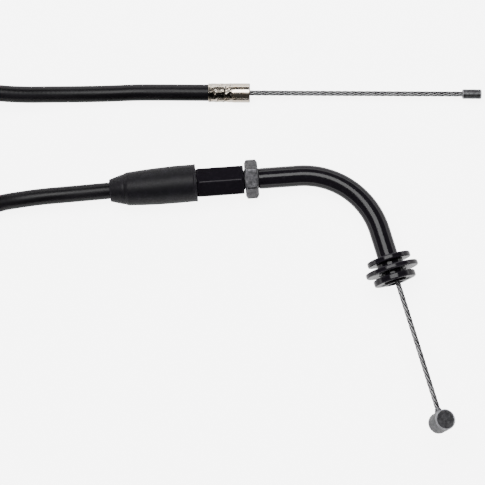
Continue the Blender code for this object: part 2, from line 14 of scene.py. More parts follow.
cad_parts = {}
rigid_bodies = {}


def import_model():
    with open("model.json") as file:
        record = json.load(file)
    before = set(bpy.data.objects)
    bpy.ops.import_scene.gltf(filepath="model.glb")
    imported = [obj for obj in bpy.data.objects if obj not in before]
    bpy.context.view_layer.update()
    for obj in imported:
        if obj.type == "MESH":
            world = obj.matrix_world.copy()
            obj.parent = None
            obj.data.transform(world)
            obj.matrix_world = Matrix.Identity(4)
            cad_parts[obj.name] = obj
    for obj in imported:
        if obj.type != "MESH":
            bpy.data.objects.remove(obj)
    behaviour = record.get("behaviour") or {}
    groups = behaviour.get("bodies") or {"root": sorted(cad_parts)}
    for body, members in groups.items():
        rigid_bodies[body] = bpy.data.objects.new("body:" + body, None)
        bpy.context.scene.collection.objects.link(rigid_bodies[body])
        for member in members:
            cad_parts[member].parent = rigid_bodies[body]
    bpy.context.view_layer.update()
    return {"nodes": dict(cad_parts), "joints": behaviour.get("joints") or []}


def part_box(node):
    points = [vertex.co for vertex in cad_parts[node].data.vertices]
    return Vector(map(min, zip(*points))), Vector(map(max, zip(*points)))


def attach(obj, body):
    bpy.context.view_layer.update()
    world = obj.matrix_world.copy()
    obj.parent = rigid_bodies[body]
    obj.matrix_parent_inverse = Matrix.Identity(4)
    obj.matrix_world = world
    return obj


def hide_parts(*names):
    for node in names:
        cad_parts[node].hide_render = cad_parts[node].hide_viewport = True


bl_info = {
    "name": "Throttle Cable",
    "version": (1, 0, 0),
    "blender": (4, 5, 0),
    "location": "3D View > Sidebar > Throttle Cable",
    "description": "Builds a motorcycle throttle cable with a bent elbow around its CAD frame",
    "category": "Add Mesh",
}

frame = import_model()

MM = 0.001
VIEW_MIDDLE = Vector((-0.00763, 0.00563, 0.005))
VIEW_WIDTH = 0.1455            # metres across the view, at its middle
VIEW_DISTANCE = 0.95
VIEW_ROLL = radians(-4.0)
SENSOR_WIDTH = 36.0            # millimetres
FLOOR_REACH = 3.0
SOFTBOX_SIZE = (0.87, 0.60)
SOFTBOX_DISTANCE = 1.2
SOFTBOX_LEAN = radians(22.0)
SOFTBOX_TURN = radians(14.0)
WALL_TOP = 0.12                # heights of the view direction where the wall begins to darken
CEILING_START = 0.30


# Sizes that the CAD frame fixes, in millimetres

HEX_LENGTH = 14.1
SLEEVE_FLATS = 8.5
SHANK_RADIUS = 4.0
SHANK_LENGTH = 8.0
CAP_SEAT_RADIUS = 3.2
CAP_SEAT_DEPTH = 1.0
THREAD_BORE = 3.4
THREAD_START = 1.8
WIRE_HOLE = 1.1
NUT_FLATS = 10.3
NUT_THICKNESS = 4.0
NUT_GAP = 0.3
BOOT_LENGTH = 26.0
BOOT_REACH = -0.2             # its wide end in the CAD, and as it looks
BOOT_END = -0.12
BOOT_REST = 5.6                # where the floor flattens it
BOOT_LIP = 5.68
BOOT_BORE = 4.3
BOOT_GRIP = 2.8
TUBE_RADIUS = 3.15
TUBE_WALL = 0.8
TUBE_START = 2.4
BEND_START = 30.5
BEND_RADIUS = 23.6
BEND_ANGLE = radians(77.0)
ELBOW_ROLL = radians(9.0)
OUTLET_LENGTH = 16.65
FLANGE_BORE = 3.3              # flange pieces: places along the outlet, and radii
HUB_RADIUS = 4.05
COLLAR_START = 8.45
COLLAR_END = 10.05
COLLAR_RADIUS = 6.65
DISC_START = 11.6
DISC_END = 13.1
DISC_RADIUS = 8.05
HUB_START = 13.25
PLATE_START = 14.2
PLATE_END = 16.1
PLATE_RADIUS = 6.45
WIRE_OFFSET = 0.5
WIRE_HIDDEN = 5.6
BARREL_DISTANCE = 60.05
BARREL_RADIUS = 3.15
BARREL_LENGTH = 6.5
BARREL_ROLL = radians(19.0)
FERRULE_LENGTH = 12.5
FERRULE_CRIMP = 7.3
FERRULE_RADIUS = 2.9
FERRULE_BORE = 2.6
FERRULE_FACE = 0.6
CRIMP_JAWS = 5
CRIMP_ROWS = 2.3               # spacing along the ferrule
CRIMP_BELT = (-1.9, -1.4, 0.8, 1.3)    # across the ferrule: where the crimp's painted dark reflection fades in and out
DIMPLE_ANGLE = 4.45
DIMPLE_DISTANCE = 7.95
DIMPLE_DEPTH = 0.18
RING_DEPTH = 0.06              # of the groove at the end of the crimp
CARB_HEADING = radians(-4.3)
CARB_WIRE_LENGTH = 63.8
CARB_WIRE_HIDDEN = 3.0
CARB_WIRE_DEPTH = 3.2          # how far it reaches into its nipple
FINE_WIRE_LAY = 0.0009         # metres, of the fine wires in a strand
CARB_NIPPLE_LENGTH = 5.8
CARB_NIPPLE_RADIUS = 1.45

# Route of the free casing, the same points as in the CAD, in millimetres
CASING_PIVOT = -3.5
CASING_TILT = radians(1.2)
CASING_START = -0.2            # ends of the straight casing, from the hexagon and from the ferrule
STRAIGHT_END = -47.3
CARB_STRAIGHT_END = -27.3
CARB_CASING_END = -0.9
COIL_CENTRE = (-116.75, 39.4)
COIL_MEAN_RADIUS = 25.4
COIL_PITCH = 5.1
COIL_Z = 2.53
THROTTLE_RUN_ROUTE = (
    (-73.0, 23.1, 0.93), (-79.06, 22.51, 0.5), (-86.19, 20.58, 0.12), (-93.88, 16.77, 0.0),
    (-101.56, 12.47, 0.0), (-109.09, 9.74, 0.0))
CARB_RUN_ROUTE = (
    (-36.5, 52.85, 0.0), (-44.2, 53.1, 0.0), (-53.0, 53.5, 0.08), (-62.1, 54.0, 0.3),
    (-70.04, 54.46, 0.6), (-78.15, 55.51, 0.88), (-85.8, 57.81, 1.0), (-93.45, 61.54, 1.0),
    (-101.2, 66.04, 1.0), (-108.71, 68.89, 1.0))


def axis_of(joint):
    """(position, direction) of one of the frame's joints, in metres."""
    found = next(j for j in frame["joints"] if j["name"] == joint)
    return Vector(found.get("pos_m", (0.0, 0.0, 0.0))), Vector(found["axis"]).normalized()


def adjuster_origin():
    """Start of the adjuster's hexagon, in metres."""
    pivot, _ = axis_of("elbow_swivel")
    return Vector((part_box("adjuster_sleeve")[1].x - HEX_LENGTH * MM, pivot.y, pivot.z))


def carb_origin():
    """Middle of the ferrule's front face, in metres."""
    low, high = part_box("carb_ferrule")
    middle = (low + high) / 2
    return middle + Vector((cos(CARB_HEADING), sin(CARB_HEADING), 0.0)) * FERRULE_LENGTH / 2 * MM


# Places: each turns millimetres in a piece's own frame, Z along its axis, into the frame's metres

def place_at(origin, rotation):
    return Matrix.Translation(origin) @ rotation.to_4x4() @ Matrix.Scale(MM, 4)


ALONG_X = Matrix.Rotation(pi / 2, 3, "Y")


def adjuster_place():
    return place_at(adjuster_origin(), ALONG_X)


def casing_place():
    pivot, _ = axis_of("elbow_swivel")
    return place_at(pivot, ALONG_X @ Matrix.Rotation(-CASING_TILT, 3, "X"))


def elbow_place():
    return place_at(adjuster_origin(), Matrix.Rotation(-ELBOW_ROLL, 3, "X"))


def outlet_place():
    end = Vector((BEND_START + BEND_RADIUS * sin(BEND_ANGLE),
                  -BEND_RADIUS * (1 - cos(BEND_ANGLE)), 0.0))
    axes = Matrix(((0.0, -sin(BEND_ANGLE), cos(BEND_ANGLE)),
                   (0.0, -cos(BEND_ANGLE), -sin(BEND_ANGLE)),
                   (1.0, 0.0, 0.0)))
    return elbow_place() @ Matrix.Translation(end) @ axes.to_4x4()


def wire_place():
    return outlet_place() @ Matrix.Translation((0.0, -WIRE_OFFSET, 0.0))


def barrel_place():
    turn = Matrix.Rotation(-BARREL_ROLL, 4, "Z") @ Matrix.Rotation(pi / 2, 4, "Y")
    return wire_place() @ Matrix.Translation((0.0, 0.0, BARREL_DISTANCE)) @ turn


def carb_place():
    return place_at(carb_origin(), Matrix.Rotation(CARB_HEADING, 3, "Z") @ ALONG_X)


# Profiles

def rounded(corners, closed=False, steps=5):
    """A turned outline with its corners rounded: each corner is (radius, z, rounding)."""
    points = []
    last = len(corners) - 1
    for i, (radius, z, size) in enumerate(corners):
        here = Vector((radius, z))
        if size <= 0.0 or (not closed and i in (0, last)):
            points.append(here)
            continue
        back = Vector(corners[i - 1][:2]) - here
        ahead = Vector(corners[(i + 1) % (last + 1)][:2]) - here
        angle = back.angle(ahead)
        if angle > pi - 0.02:
            points.append(here)
            continue
        cut = min(size / tan(angle / 2), 0.42 * back.length, 0.42 * ahead.length)
        fillet = cut * tan(angle / 2)
        u, v = back.normalized(), ahead.normalized()
        centre = here + (u + v).normalized() * fillet / sin(angle / 2)
        points.append(here + u * cut * 1.25)
        start = here + u * cut - centre
        sweep = (pi - angle) * (1.0 if start.x * (here + v * cut - centre).y
                                - start.y * (here + v * cut - centre).x > 0 else -1.0)
        for step in range(steps + 1):
            turn = sweep * step / steps
            points.append(centre + Vector((start.x * cos(turn) - start.y * sin(turn),
                                           start.x * sin(turn) + start.y * cos(turn))))
        points.append(here + v * cut * 1.25)
    return [(p.x, p.y) for p in points]


def divided(points, longest, closed=False):
    """The same outline with its long stretches cut into shorter ones."""
    ends = points[1:] + points[:1] if closed else points[1:]
    made = []
    for (r0, z0), (r1, z1) in zip(points, ends):
        pieces = max(1, round(sqrt((r1 - r0) ** 2 + (z1 - z0) ** 2) / longest))
        made += [(r0 + (r1 - r0) * k / pieces, z0 + (z1 - z0) * k / pieces)
                 for k in range(pieces)]
    return made if closed else made + [points[-1]]


def hexagon_radius(angle, flats, turn, sharpness):
    """Radius of a hexagon with slightly rounded corners; its flats face turn + 60 degree steps."""
    total = np.zeros_like(angle)
    for side in range(6):
        facing = np.maximum(np.cos(angle - turn - side * pi / 3), 0.0)
        total += (facing * 2.0 / flats) ** sharpness
    return total ** (-1.0 / sharpness)


def least(a, b, sharpness):
    """The smaller of two radii, with a small rounding where they cross."""
    return (a ** -sharpness + b ** -sharpness) ** (-1.0 / sharpness)


def hexed(radius, angle, z, flats, turn, core, wave, sharpness):
    """Cuts what lies outside the core to a hexagon; returns the radius with its waviness."""
    limit = hexagon_radius(angle, flats, turn, sharpness)
    return np.where(radius > core, least(radius, limit, sharpness) + wave, radius), z


def ease(t):
    t = np.clip(t, 0.0, 1.0)
    return t * t * (3.0 - 2.0 * t)


def uneven(points, size, amount, seed=0.0):
    """A small smooth unevenness at each point."""
    shift = Vector((seed, seed * 1.7, -seed))
    return np.array([noise.noise(Vector(p) / size + shift) for p in points]) * amount


def lumps_of(radius, angle, z, size, amount, seed):
    """The unevenness at each point of a turned surface."""
    own = np.stack([radius * np.cos(angle), radius * np.sin(angle), z], -1).reshape(-1, 3)
    return uneven(own, size, amount, seed).reshape(radius.shape)


# Meshes

def mesh_of(name, points, faces, own_points, place):
    """A closed mesh whose faces point outwards, with its own coordinates kept, and the bends of its
    edges and hollows, which the finishes use for wear and for painted highlight and shade.
    """
    world = np.array(place, float)
    metres = points @ world[:3, :3].T + world[:3, 3]
    volume = 0.0
    for face in faces:
        a = metres[face[0]] - metres[0]
        for k in range(1, len(face) - 1):
            volume += a.dot(np.cross(metres[face[k]] - metres[0], metres[face[k + 1]] - metres[0]))
    if volume < 0.0:
        faces = [tuple(reversed(face)) for face in faces]
    mesh = bpy.data.meshes.new(name)
    mesh.from_pydata([tuple(p) for p in metres], [], faces)
    mesh.update()
    mesh.shade_smooth()
    own = mesh.attributes.new("own_place", "FLOAT_VECTOR", "POINT")
    own.data.foreach_set("vector", own_points.astype(np.float32).ravel())
    bends = curvature(mesh) * MM
    for title, values in (("edge", np.clip((bends - 0.9) / 3.0, 0.0, 1.0)),
                          ("hollow", np.clip((-bends - 0.4) / 2.5, 0.0, 1.0))):
        made = mesh.attributes.new(title, "FLOAT", "POINT")
        made.data.foreach_set("value", values.astype(np.float32))
    return mesh


def curvature(mesh):
    """The strongest bend of the surface at each vertex, positive on an outer edge."""
    count = len(mesh.vertices)
    place = np.empty(count * 3, np.float32)
    normal = np.empty(count * 3, np.float32)
    ends = np.empty(len(mesh.edges) * 2, np.int32)
    mesh.vertices.foreach_get("co", place)
    mesh.vertex_normals.foreach_get("vector", normal)
    mesh.edges.foreach_get("vertices", ends)
    place, normal, ends = place.reshape(-1, 3), normal.reshape(-1, 3), ends.reshape(-1, 2)
    a, b = ends[:, 0], ends[:, 1]
    step = place[a] - place[b]
    bend = ((normal[a] - normal[b]) * step).sum(1) / np.maximum((step ** 2).sum(1), 1e-12)
    high, low = np.full(count, -1e9), np.full(count, 1e9)
    for end in (a, b):
        np.maximum.at(high, end, bend)
        np.minimum.at(low, end, bend)
    return np.where(high > -low, high, low)


def turned(name, profile, place, closed=False, sides=64, shape=None, along=None):
    """A piece turned about its Z.

    shape may change (radius, angle, z), and along bends the points onto a path."""
    radius = np.array([p[0] for p in profile])[:, None] + np.zeros((1, sides))
    z = np.array([p[1] for p in profile])[:, None] + np.zeros((1, sides))
    angle = np.zeros((len(profile), 1)) + np.arange(sides)[None, :] * 2 * pi / sides
    if shape:
        radius, z = shape(radius, angle, z)
    own = np.stack([radius * np.cos(angle), radius * np.sin(angle), z], -1)
    points = along(own) if along else own
    index = np.arange(len(profile) * sides).reshape(len(profile), sides)
    keep = np.ones(index.size, bool)
    for row, point in enumerate(profile):
        if point[0] < 1e-6:
            keep[index[row, 1:]] = False
            index[row, :] = index[row, 0]
    number = np.cumsum(keep) - 1
    index = number[index]
    faces = []
    rows = range(len(profile)) if closed else range(len(profile) - 1)
    for row in rows:
        here, there = index[row], index[(row + 1) % len(profile)]
        for side in range(sides):
            after = (side + 1) % sides
            face = [here[side], here[after], there[after], there[side]]
            face = [int(v) for k, v in enumerate(face) if v != face[k - 1]]
            if len(face) > 2:
                faces.append(tuple(face))
    return mesh_of(name, points.reshape(-1, 3)[keep], faces, own.reshape(-1, 3)[keep], place)


def show(name, mesh, material, body, replaces=()):
    """Puts a finished mesh in the scene, on its body and in place of its CAD nodes."""
    piece = bpy.data.objects.new(name, mesh)
    bpy.context.scene.collection.objects.link(piece)
    mesh.materials.clear()
    mesh.materials.append(material)
    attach(piece, body)
    if replaces:
        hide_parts(*replaces)
    return piece


# Paths

def smooth_route(points, spacing):
    """Even steps along a smooth curve through the points, in millimetres."""
    knots = np.vstack([2 * points[0] - points[1], points, 2 * points[-1] - points[-2]])
    fine = []
    for i in range(1, len(knots) - 2):
        p0, p1, p2, p3 = knots[i - 1:i + 3]
        t1 = np.linalg.norm(p1 - p0) ** 0.5
        t2 = t1 + np.linalg.norm(p2 - p1) ** 0.5
        t3 = t2 + np.linalg.norm(p3 - p2) ** 0.5
        t = (t1 + (t2 - t1) * np.arange(12) / 12)[:, None]
        a1 = (t1 - t) / t1 * p0 + t / t1 * p1
        a2 = (t2 - t) / (t2 - t1) * p1 + (t - t1) / (t2 - t1) * p2
        a3 = (t3 - t) / (t3 - t2) * p2 + (t - t2) / (t3 - t2) * p3
        b1 = (t2 - t) / t2 * a1 + t / t2 * a2
        b2 = (t3 - t) / (t3 - t1) * a2 + (t - t1) / (t3 - t1) * a3
        fine.append((t2 - t) / (t2 - t1) * b1 + (t - t1) / (t2 - t1) * b2)
    fine = np.vstack(fine + [points[-1:]])
    run = np.concatenate([[0.0], np.cumsum(np.linalg.norm(np.diff(fine, axis=0), axis=1))])
    even = np.linspace(0.0, run[-1], round(run[-1] / spacing) + 1)
    return np.stack([np.interp(even, run, fine[:, k]) for k in range(3)], 1), run[-1]


def path_axes(points):
    """Two directions across the path at each point, turned as little as possible on the way."""
    ahead = np.gradient(points, axis=0)
    ahead /= np.linalg.norm(ahead, axis=1)[:, None]
    across = np.zeros_like(points)
    first = np.cross(ahead[0], (0.0, 0.0, 1.0))
    across[0] = first / np.linalg.norm(first)
    for i in range(1, len(points)):
        side = across[i - 1] - ahead[i] * across[i - 1].dot(ahead[i])
        across[i] = side / np.linalg.norm(side)
    return across, np.cross(ahead, across)


def onto_path(points, length):
    """A function that bends a straight piece, Z from 0 to length, onto the path."""
    across, up = path_axes(points)
    run = np.linspace(0.0, length, len(points))

    def bend(own):
        z = own[..., 2]
        spot, u, v = (np.stack([np.interp(z, run, line[:, k]) for k in range(3)], -1)
                      for line in (points, across, up))
        return spot + u * own[..., :1] + v * own[..., 1:2]

    return bend


def casing_point(distance):
    """A point of the casing's straight throttle end, in millimetres."""
    origin = adjuster_origin() / MM
    back = distance - CASING_PIVOT
    return np.array((origin.x + CASING_PIVOT + back * cos(CASING_TILT),
                     origin.y + back * sin(CASING_TILT), origin.z))


def carb_point(distance):
    """A point of the carburettor end's axis, in millimetres."""
    origin = carb_origin() / MM
    return np.array((origin.x + distance * cos(CARB_HEADING),
                     origin.y + distance * sin(CARB_HEADING), origin.z))


def coil_point(degrees):
    """A point of the coil, turned clockwise seen from above from its lowest point in Y.

    Two turns wind inwards on the ground, the third climbs onto them, the rest wind outwards."""
    radius = COIL_MEAN_RADIUS + COIL_PITCH
    for turn, way, start in ((0, -1, 180), (1, -1, 180), (2, 1, 235), (3, 1, 235)):
        radius += way * COIL_PITCH * ease((degrees - 360 * turn - start) / (360 - start))
    height = COIL_Z + COIL_PITCH * ease((degrees - 720) / 120)
    angle = radians(-90 - degrees)
    return np.array((COIL_CENTRE[0] + radius * cos(angle), COIL_CENTRE[1] + radius * sin(angle),
                     height))


def casing_route():
    """Points that the whole casing follows, from the adjuster to the ferrule, in millimetres."""
    points = [casing_point(d) for d in (CASING_START, -12.0, -24.0, -36.0, STRAIGHT_END)]
    straight_z = points[-1][2]
    points += [np.array((x, y, COIL_Z + (straight_z - COIL_Z) * share))
               for x, y, share in THROTTLE_RUN_ROUTE]
    points += [coil_point(degrees) for degrees in range(0, 1621, 15)]
    points += [np.array((x, y, COIL_Z + layer * COIL_PITCH))
               for x, y, layer in reversed(CARB_RUN_ROUTE)]
    points += [carb_point(d) for d in (CARB_STRAIGHT_END, -18.0, -9.0, CARB_CASING_END)]
    return np.array(points)


def onto_elbow(own):
    """Bends a straight tube, Z along its middle line, onto the elbow."""
    z = own[..., 2]
    arc = BEND_RADIUS * BEND_ANGLE
    turn = np.clip((z - BEND_START) / BEND_RADIUS, 0.0, BEND_ANGLE)
    after = np.maximum(z - BEND_START - arc, 0.0)
    before = np.minimum(z, BEND_START)
    reach = BEND_RADIUS + own[..., 0]
    x = before + reach * np.sin(turn) + after * cos(BEND_ANGLE)
    y = reach * np.cos(turn) - BEND_RADIUS - after * sin(BEND_ANGLE)
    return np.stack([x, y, own[..., 1]], -1)


# Finishes

def new_finish(name):
    material = bpy.data.materials.new(name)
    material.use_nodes = True
    return material, material.node_tree, material.node_tree.nodes["Principled BSDF"]


def add(tree, kind, inputs=None, **settings):
    """A node with its settings made and its inputs set or linked."""
    node = tree.nodes.new(kind)
    for name, value in settings.items():
        setattr(node, name, value)
    for name, value in (inputs or {}).items():
        if isinstance(value, bpy.types.NodeSocket):
            tree.links.new(value, node.inputs[name])
        else:
            node.inputs[name].default_value = value
    return node


def own_place(tree, name="own_place"):
    return add(tree, "ShaderNodeAttribute", attribute_name=name).outputs["Vector"]


def own_value(tree, name):
    return add(tree, "ShaderNodeAttribute", attribute_name=name).outputs["Fac"]


def object_place(tree):
    return add(tree, "ShaderNodeTexCoord").outputs["Object"]


def parts_of(tree, vector):
    return add(tree, "ShaderNodeSeparateXYZ", {"Vector": vector}).outputs


def stretched(tree, vector, scale):
    return add(tree, "ShaderNodeMapping", {"Vector": vector, "Scale": scale}).outputs["Vector"]


def noise_of(tree, vector, scale, detail=3.0, roughness=0.55):
    return add(tree, "ShaderNodeTexNoise", {"Vector": vector, "Scale": scale, "Detail": detail,
                                            "Roughness": roughness}).outputs["Fac"]


def ramp(tree, value, low, high, out_low=0.0, out_high=1.0):
    """Maps value from low..high to out_low..out_high, clamped and eased."""
    return add(tree, "ShaderNodeMapRange", {
        "Value": value, "From Min": low, "From Max": high, "To Min": out_low,
        "To Max": out_high}, interpolation_type="SMOOTHSTEP").outputs["Result"]


def maths(tree, operation, a, b=0.0):
    return add(tree, "ShaderNodeMath", {0: a, 1: b}, operation=operation).outputs[0]


def at_least(tree, value, floor):
    """value, 0 to 1, brought into floor..1."""
    return ramp(tree, value, 0.0, 1.0, floor, 1.0)


def blend_colour(tree, share, a, b):
    node = add(tree, "ShaderNodeMix", data_type="RGBA")
    for socket, value in zip((node.inputs[0], node.inputs[6], node.inputs[7]), (share, a, b)):
        if isinstance(value, bpy.types.NodeSocket):
            tree.links.new(value, socket)
        elif isinstance(value, float):
            socket.default_value = value
        else:
            socket.default_value = (*value[:3], 1.0)
    return node.outputs[2]


def veiled(tree, colour, veil, share, strength):
    """colour with a veil of another colour over it, as dense as share times strength."""
    return blend_colour(tree, maths(tree, "MULTIPLY", share, strength), colour, veil)


def bumps(tree, shader, *layers):
    """Stacks bump layers, each (height, distance in metres, strength)."""
    normal = None
    for height, distance, strength in layers:
        inputs = {"Height": height, "Distance": distance, "Strength": strength}
        if normal:
            inputs["Normal"] = normal
        normal = add(tree, "ShaderNodeBump", inputs).outputs["Normal"]
    tree.links.new(normal, shader.inputs["Normal"])


def connect(tree, shader, **sockets):
    for name, value in sockets.items():
        title = name.replace("_", " ").title().replace("Ior", "IOR")
        if isinstance(value, bpy.types.NodeSocket):
            tree.links.new(value, shader.inputs[title])
        elif isinstance(value, float):
            shader.inputs[title].default_value = value
        else:
            shader.inputs[title].default_value = (*value[:3], 1.0)


def shade(colour, factor):
    return tuple(min(1.0, c * factor) for c in colour[:3])


def vinyl_finish(looks):
    """Black vinyl: soft gloss, long faint rub marks, and the winding beneath just showing."""
    material, tree, shader = new_finish("casing_vinyl_finish")
    place = own_place(tree)
    blotch = noise_of(tree, stretched(tree, place, (1.0, 1.0, 0.12)), 0.5, 4.0)
    rubs = noise_of(tree, stretched(tree, place, (3.0, 3.0, 0.05)), 1.4, 4.0, 0.65)
    specks = noise_of(tree, place, 5.0, 2.0)
    rub = ramp(tree, rubs, 0.62, 0.80)
    colour = blend_colour(tree, ramp(tree, blotch, 0.35, 0.7), shade(looks.vinyl, 0.75),
                          shade(looks.vinyl, 1.35))
    colour = veiled(tree, colour, shade(looks.vinyl, 4.0), rub, 0.35)
    roughness = maths(tree, "ADD", ramp(tree, blotch, 0.3, 0.75, 0.30, 0.42),
                      maths(tree, "MULTIPLY", rub, 0.12))
    connect(tree, shader, base_color=colour, roughness=roughness)
    shader.inputs["Specular IOR Level"].default_value = 0.15
    winding = maths(tree, "SINE", maths(tree, "MULTIPLY", parts_of(tree, place)["Z"],
                                        2 * pi / looks.winding_pitch * MM))
    bumps(tree, shader, (winding, 0.000012, 0.35), (specks, 0.00002, 0.35), (rubs, 0.00003, 0.25))
    return material


def rubber_finish(looks):
    """Moulded rubber: matt charcoal with a fine grain, a parting line, a little bloom, and painted
    shade in its crease and hollows.
    """
    material, tree, shader = new_finish("boot_rubber_finish")
    place = own_place(tree)
    grain = noise_of(tree, place, 4.5, 4.0, 0.7)
    cloud = noise_of(tree, place, 0.45, 4.0, 0.6)
    bloom = ramp(tree, cloud, 0.42, 0.72)
    colour = blend_colour(tree, bloom, shade(looks.rubber, 0.8), shade(looks.rubber, 1.5))
    colour = veiled(tree, colour, shade(looks.rubber, 2.8), own_value(tree, "edge"), 0.55)
    # Painted shade: the crease and the other hollows are darkened.
    colour = veiled(tree, colour, shade(looks.rubber, 0.25), own_value(tree, "hollow"), 0.8)
    line = ramp(tree, maths(tree, "ABSOLUTE", parts_of(tree, place)["X"]), 0.05, 0.16, 1.0, 0.0)
    connect(tree, shader, base_color=colour,
            roughness=ramp(tree, grain, 0.3, 0.7, 0.42, 0.56))
    shader.inputs["Specular IOR Level"].default_value = 0.17
    bumps(tree, shader, (cloud, 0.00015, 0.25), (line, 0.00006, 0.5), (grain, 0.00003, 0.55))
    return material


def paint_finish(looks, name="black_paint_finish", chips=0.5):
    """Gloss black paint: faint orange peel, hair scratches, and edges rubbed through."""
    material, tree, shader = new_finish(name)
    place = own_place(tree)
    peel = noise_of(tree, place, 1.6, 2.0)
    fine = noise_of(tree, place, 6.0, 3.0)
    scratches = noise_of(tree, stretched(tree, place, (4.0, 4.0, 0.25)), 1.8, 5.0, 0.7)
    scratch = ramp(tree, scratches, 0.66, 0.74)
    edge = own_value(tree, "edge")
    chip = ramp(tree, maths(tree, "ADD", maths(tree, "MULTIPLY", edge, 0.5), fine),
                1.12 - 0.2 * chips, 1.24 - 0.2 * chips)
    dust = ramp(tree, noise_of(tree, place, 0.7, 5.0, 0.7), 0.5, 0.8)
    colour = veiled(tree, looks.paint, shade(looks.paint, 3.5), dust, 0.35)
    colour = veiled(tree, colour, shade(looks.paint, 6.0), edge, 0.3)
    colour = veiled(tree, colour, (0.12, 0.12, 0.125), chip, 0.8)
    roughness = maths(tree, "ADD", ramp(tree, dust, 0.0, 1.0, 0.13, 0.24),
                      maths(tree, "MULTIPLY", scratch, 0.2))
    connect(tree, shader, base_color=colour, roughness=roughness)
    shader.inputs["Specular IOR Level"].default_value = 0.17
    bumps(tree, shader, (peel, 0.00004, 0.35), (fine, 0.00001, 0.3),
          (scratch, 0.00001, 0.35), (chip, -0.00002, 0.5))
    return material


def zinc_finish(looks):
    """Dull zinc plate: cloudy spangle, faint machining rings, bright rubbed corners."""
    material, tree, shader = new_finish("nut_zinc_finish")
    place = own_place(tree)
    cells = add(tree, "ShaderNodeTexVoronoi", {"Vector": place, "Scale": 1.7,
                                               "Randomness": 1.0}).outputs["Color"]
    cloud = noise_of(tree, place, 0.8, 5.0, 0.65)
    grit = noise_of(tree, place, 6.0, 3.0)
    tone = maths(tree, "ADD", maths(tree, "MULTIPLY", cells, 0.30), cloud)
    colour = blend_colour(tree, ramp(tree, tone, 0.40, 0.95), shade(looks.zinc, 0.45),
                          shade(looks.zinc, 1.75))
    colour = veiled(tree, colour, shade(looks.zinc, 2.2), own_value(tree, "edge"), 0.5)
    stain = ramp(tree, noise_of(tree, place, 1.3, 4.0, 0.7), 0.60, 0.72)
    colour = veiled(tree, colour, shade(looks.zinc, 0.18), stain, 0.6)
    connect(tree, shader, base_color=colour, metallic=ramp(tree, stain, 0.0, 1.0, 0.85, 0.35),
            roughness=ramp(tree, tone, 0.35, 0.95, 0.42, 0.27))
    bumps(tree, shader, (tone, 0.00004, 0.4), (grit, 0.00002, 0.45), (stain, -0.00002, 0.4))
    return material


def nickel_finish(looks):
    """Bright nickel with a warm cast, grime in its dents, fine draw marks, and painted dark
    reflection on the crimp's middle band and on the front edge.
    """
    material, tree, shader = new_finish("nickel_plate_finish")
    place = own_place(tree)
    draw = noise_of(tree, stretched(tree, place, (5.0, 5.0, 0.3)), 2.0, 4.0, 0.6)
    cloud = noise_of(tree, place, 0.7, 4.0, 0.6)
    grime = ramp(tree, maths(tree, "ADD", own_value(tree, "hollow"),
                             maths(tree, "MULTIPLY", cloud, 0.25)), 0.18, 0.65)
    colour = blend_colour(tree, ramp(tree, cloud, 0.35, 0.7), looks.nickel,
                          (looks.nickel[0] * 1.06, looks.nickel[1] * 0.97, looks.nickel[2] * 0.84))
    colour = veiled(tree, colour, (0.035, 0.032, 0.03), grime, 0.85)
    parts = parts_of(tree, place)
    swirl = noise_of(tree, stretched(tree, place, (1.0, 1.0, 0.6)), 1.5, 4.0, 0.7)
    # Painted dark reflection: dark swirls over the middle band of the crimp, as seen from above.
    crimp = ramp(tree, parts["Z"], FERRULE_CRIMP - FERRULE_LENGTH - 0.5,
                 FERRULE_CRIMP - FERRULE_LENGTH + 0.1, 1.0, 0.0)
    belt = maths(tree, "MULTIPLY", ramp(tree, parts["Y"], *CRIMP_BELT[2:], 1.0, 0.0),
                 ramp(tree, parts["Y"], *CRIMP_BELT[:2]))
    crimp_dark_reflection = maths(tree, "MULTIPLY", maths(tree, "MULTIPLY", crimp, belt),
                 ramp(tree, swirl, 0.34, 0.52))
    colour = veiled(tree, colour, (0.010, 0.0095, 0.009), crimp_dark_reflection, 0.94)
    # Painted dark reflection: the front face and its rounded edge are darkened.
    rim = ramp(tree, parts["Z"], -0.30, -0.12)
    colour = veiled(tree, colour, (0.05, 0.046, 0.042), rim, 0.85)
    connect(tree, shader, base_color=colour,
            metallic=ramp(tree, grime, 0.0, 1.0, 1.0, 0.4),
            roughness=maths(tree, "ADD", ramp(tree, draw, 0.3, 0.7, 0.12, 0.24),
                            maths(tree, "MULTIPLY", grime, 0.3)))
    bumps(tree, shader, (cloud, 0.00005, 0.25), (draw, 0.00001, 0.35))
    return material


def strand_finish(looks):
    """One strand of steel rope: its own fine wires laid round it, with painted shade between them
    and in the crevices between strands.
    """
    material, tree, shader = new_finish("wire_steel_finish")
    across = parts_of(tree, own_place(tree, "strand_side"))
    along = own_value(tree, "strand_run")
    turn = maths(tree, "ARCTAN2", across["Y"], across["X"])
    wires = maths(tree, "COSINE", maths(tree, "ADD", maths(tree, "MULTIPLY", turn, 6.0),
                                        maths(tree, "MULTIPLY", along, 2 * pi / FINE_WIRE_LAY)))
    groove = ramp(tree, wires, -1.0, 0.1)
    # Painted shade mask: low near the rope's axis, in the crevices between strands.
    depth = ramp(tree, own_value(tree, "strand_depth"), 0.70, 0.90)
    tarnish = noise_of(tree, object_place(tree), 420.0, 3.0)
    colour = blend_colour(tree, ramp(tree, tarnish, 0.35, 0.7), shade(looks.steel, 0.72),
                          shade(looks.steel, 1.25))
    # Painted shade in the grooves between the fine wires.
    colour = blend_colour(tree, at_least(tree, groove, 0.7), shade(looks.steel, 0.3),
                          colour)
    # Painted shade in the crevices between strands.
    colour = blend_colour(tree, depth, shade(looks.steel, 0.10), colour)
    connect(tree, shader, base_color=colour, metallic=1.0,
            roughness=ramp(tree, tarnish, 0.3, 0.7, 0.24, 0.36))
    bumps(tree, shader, (groove, 0.00002, 0.3))
    return material


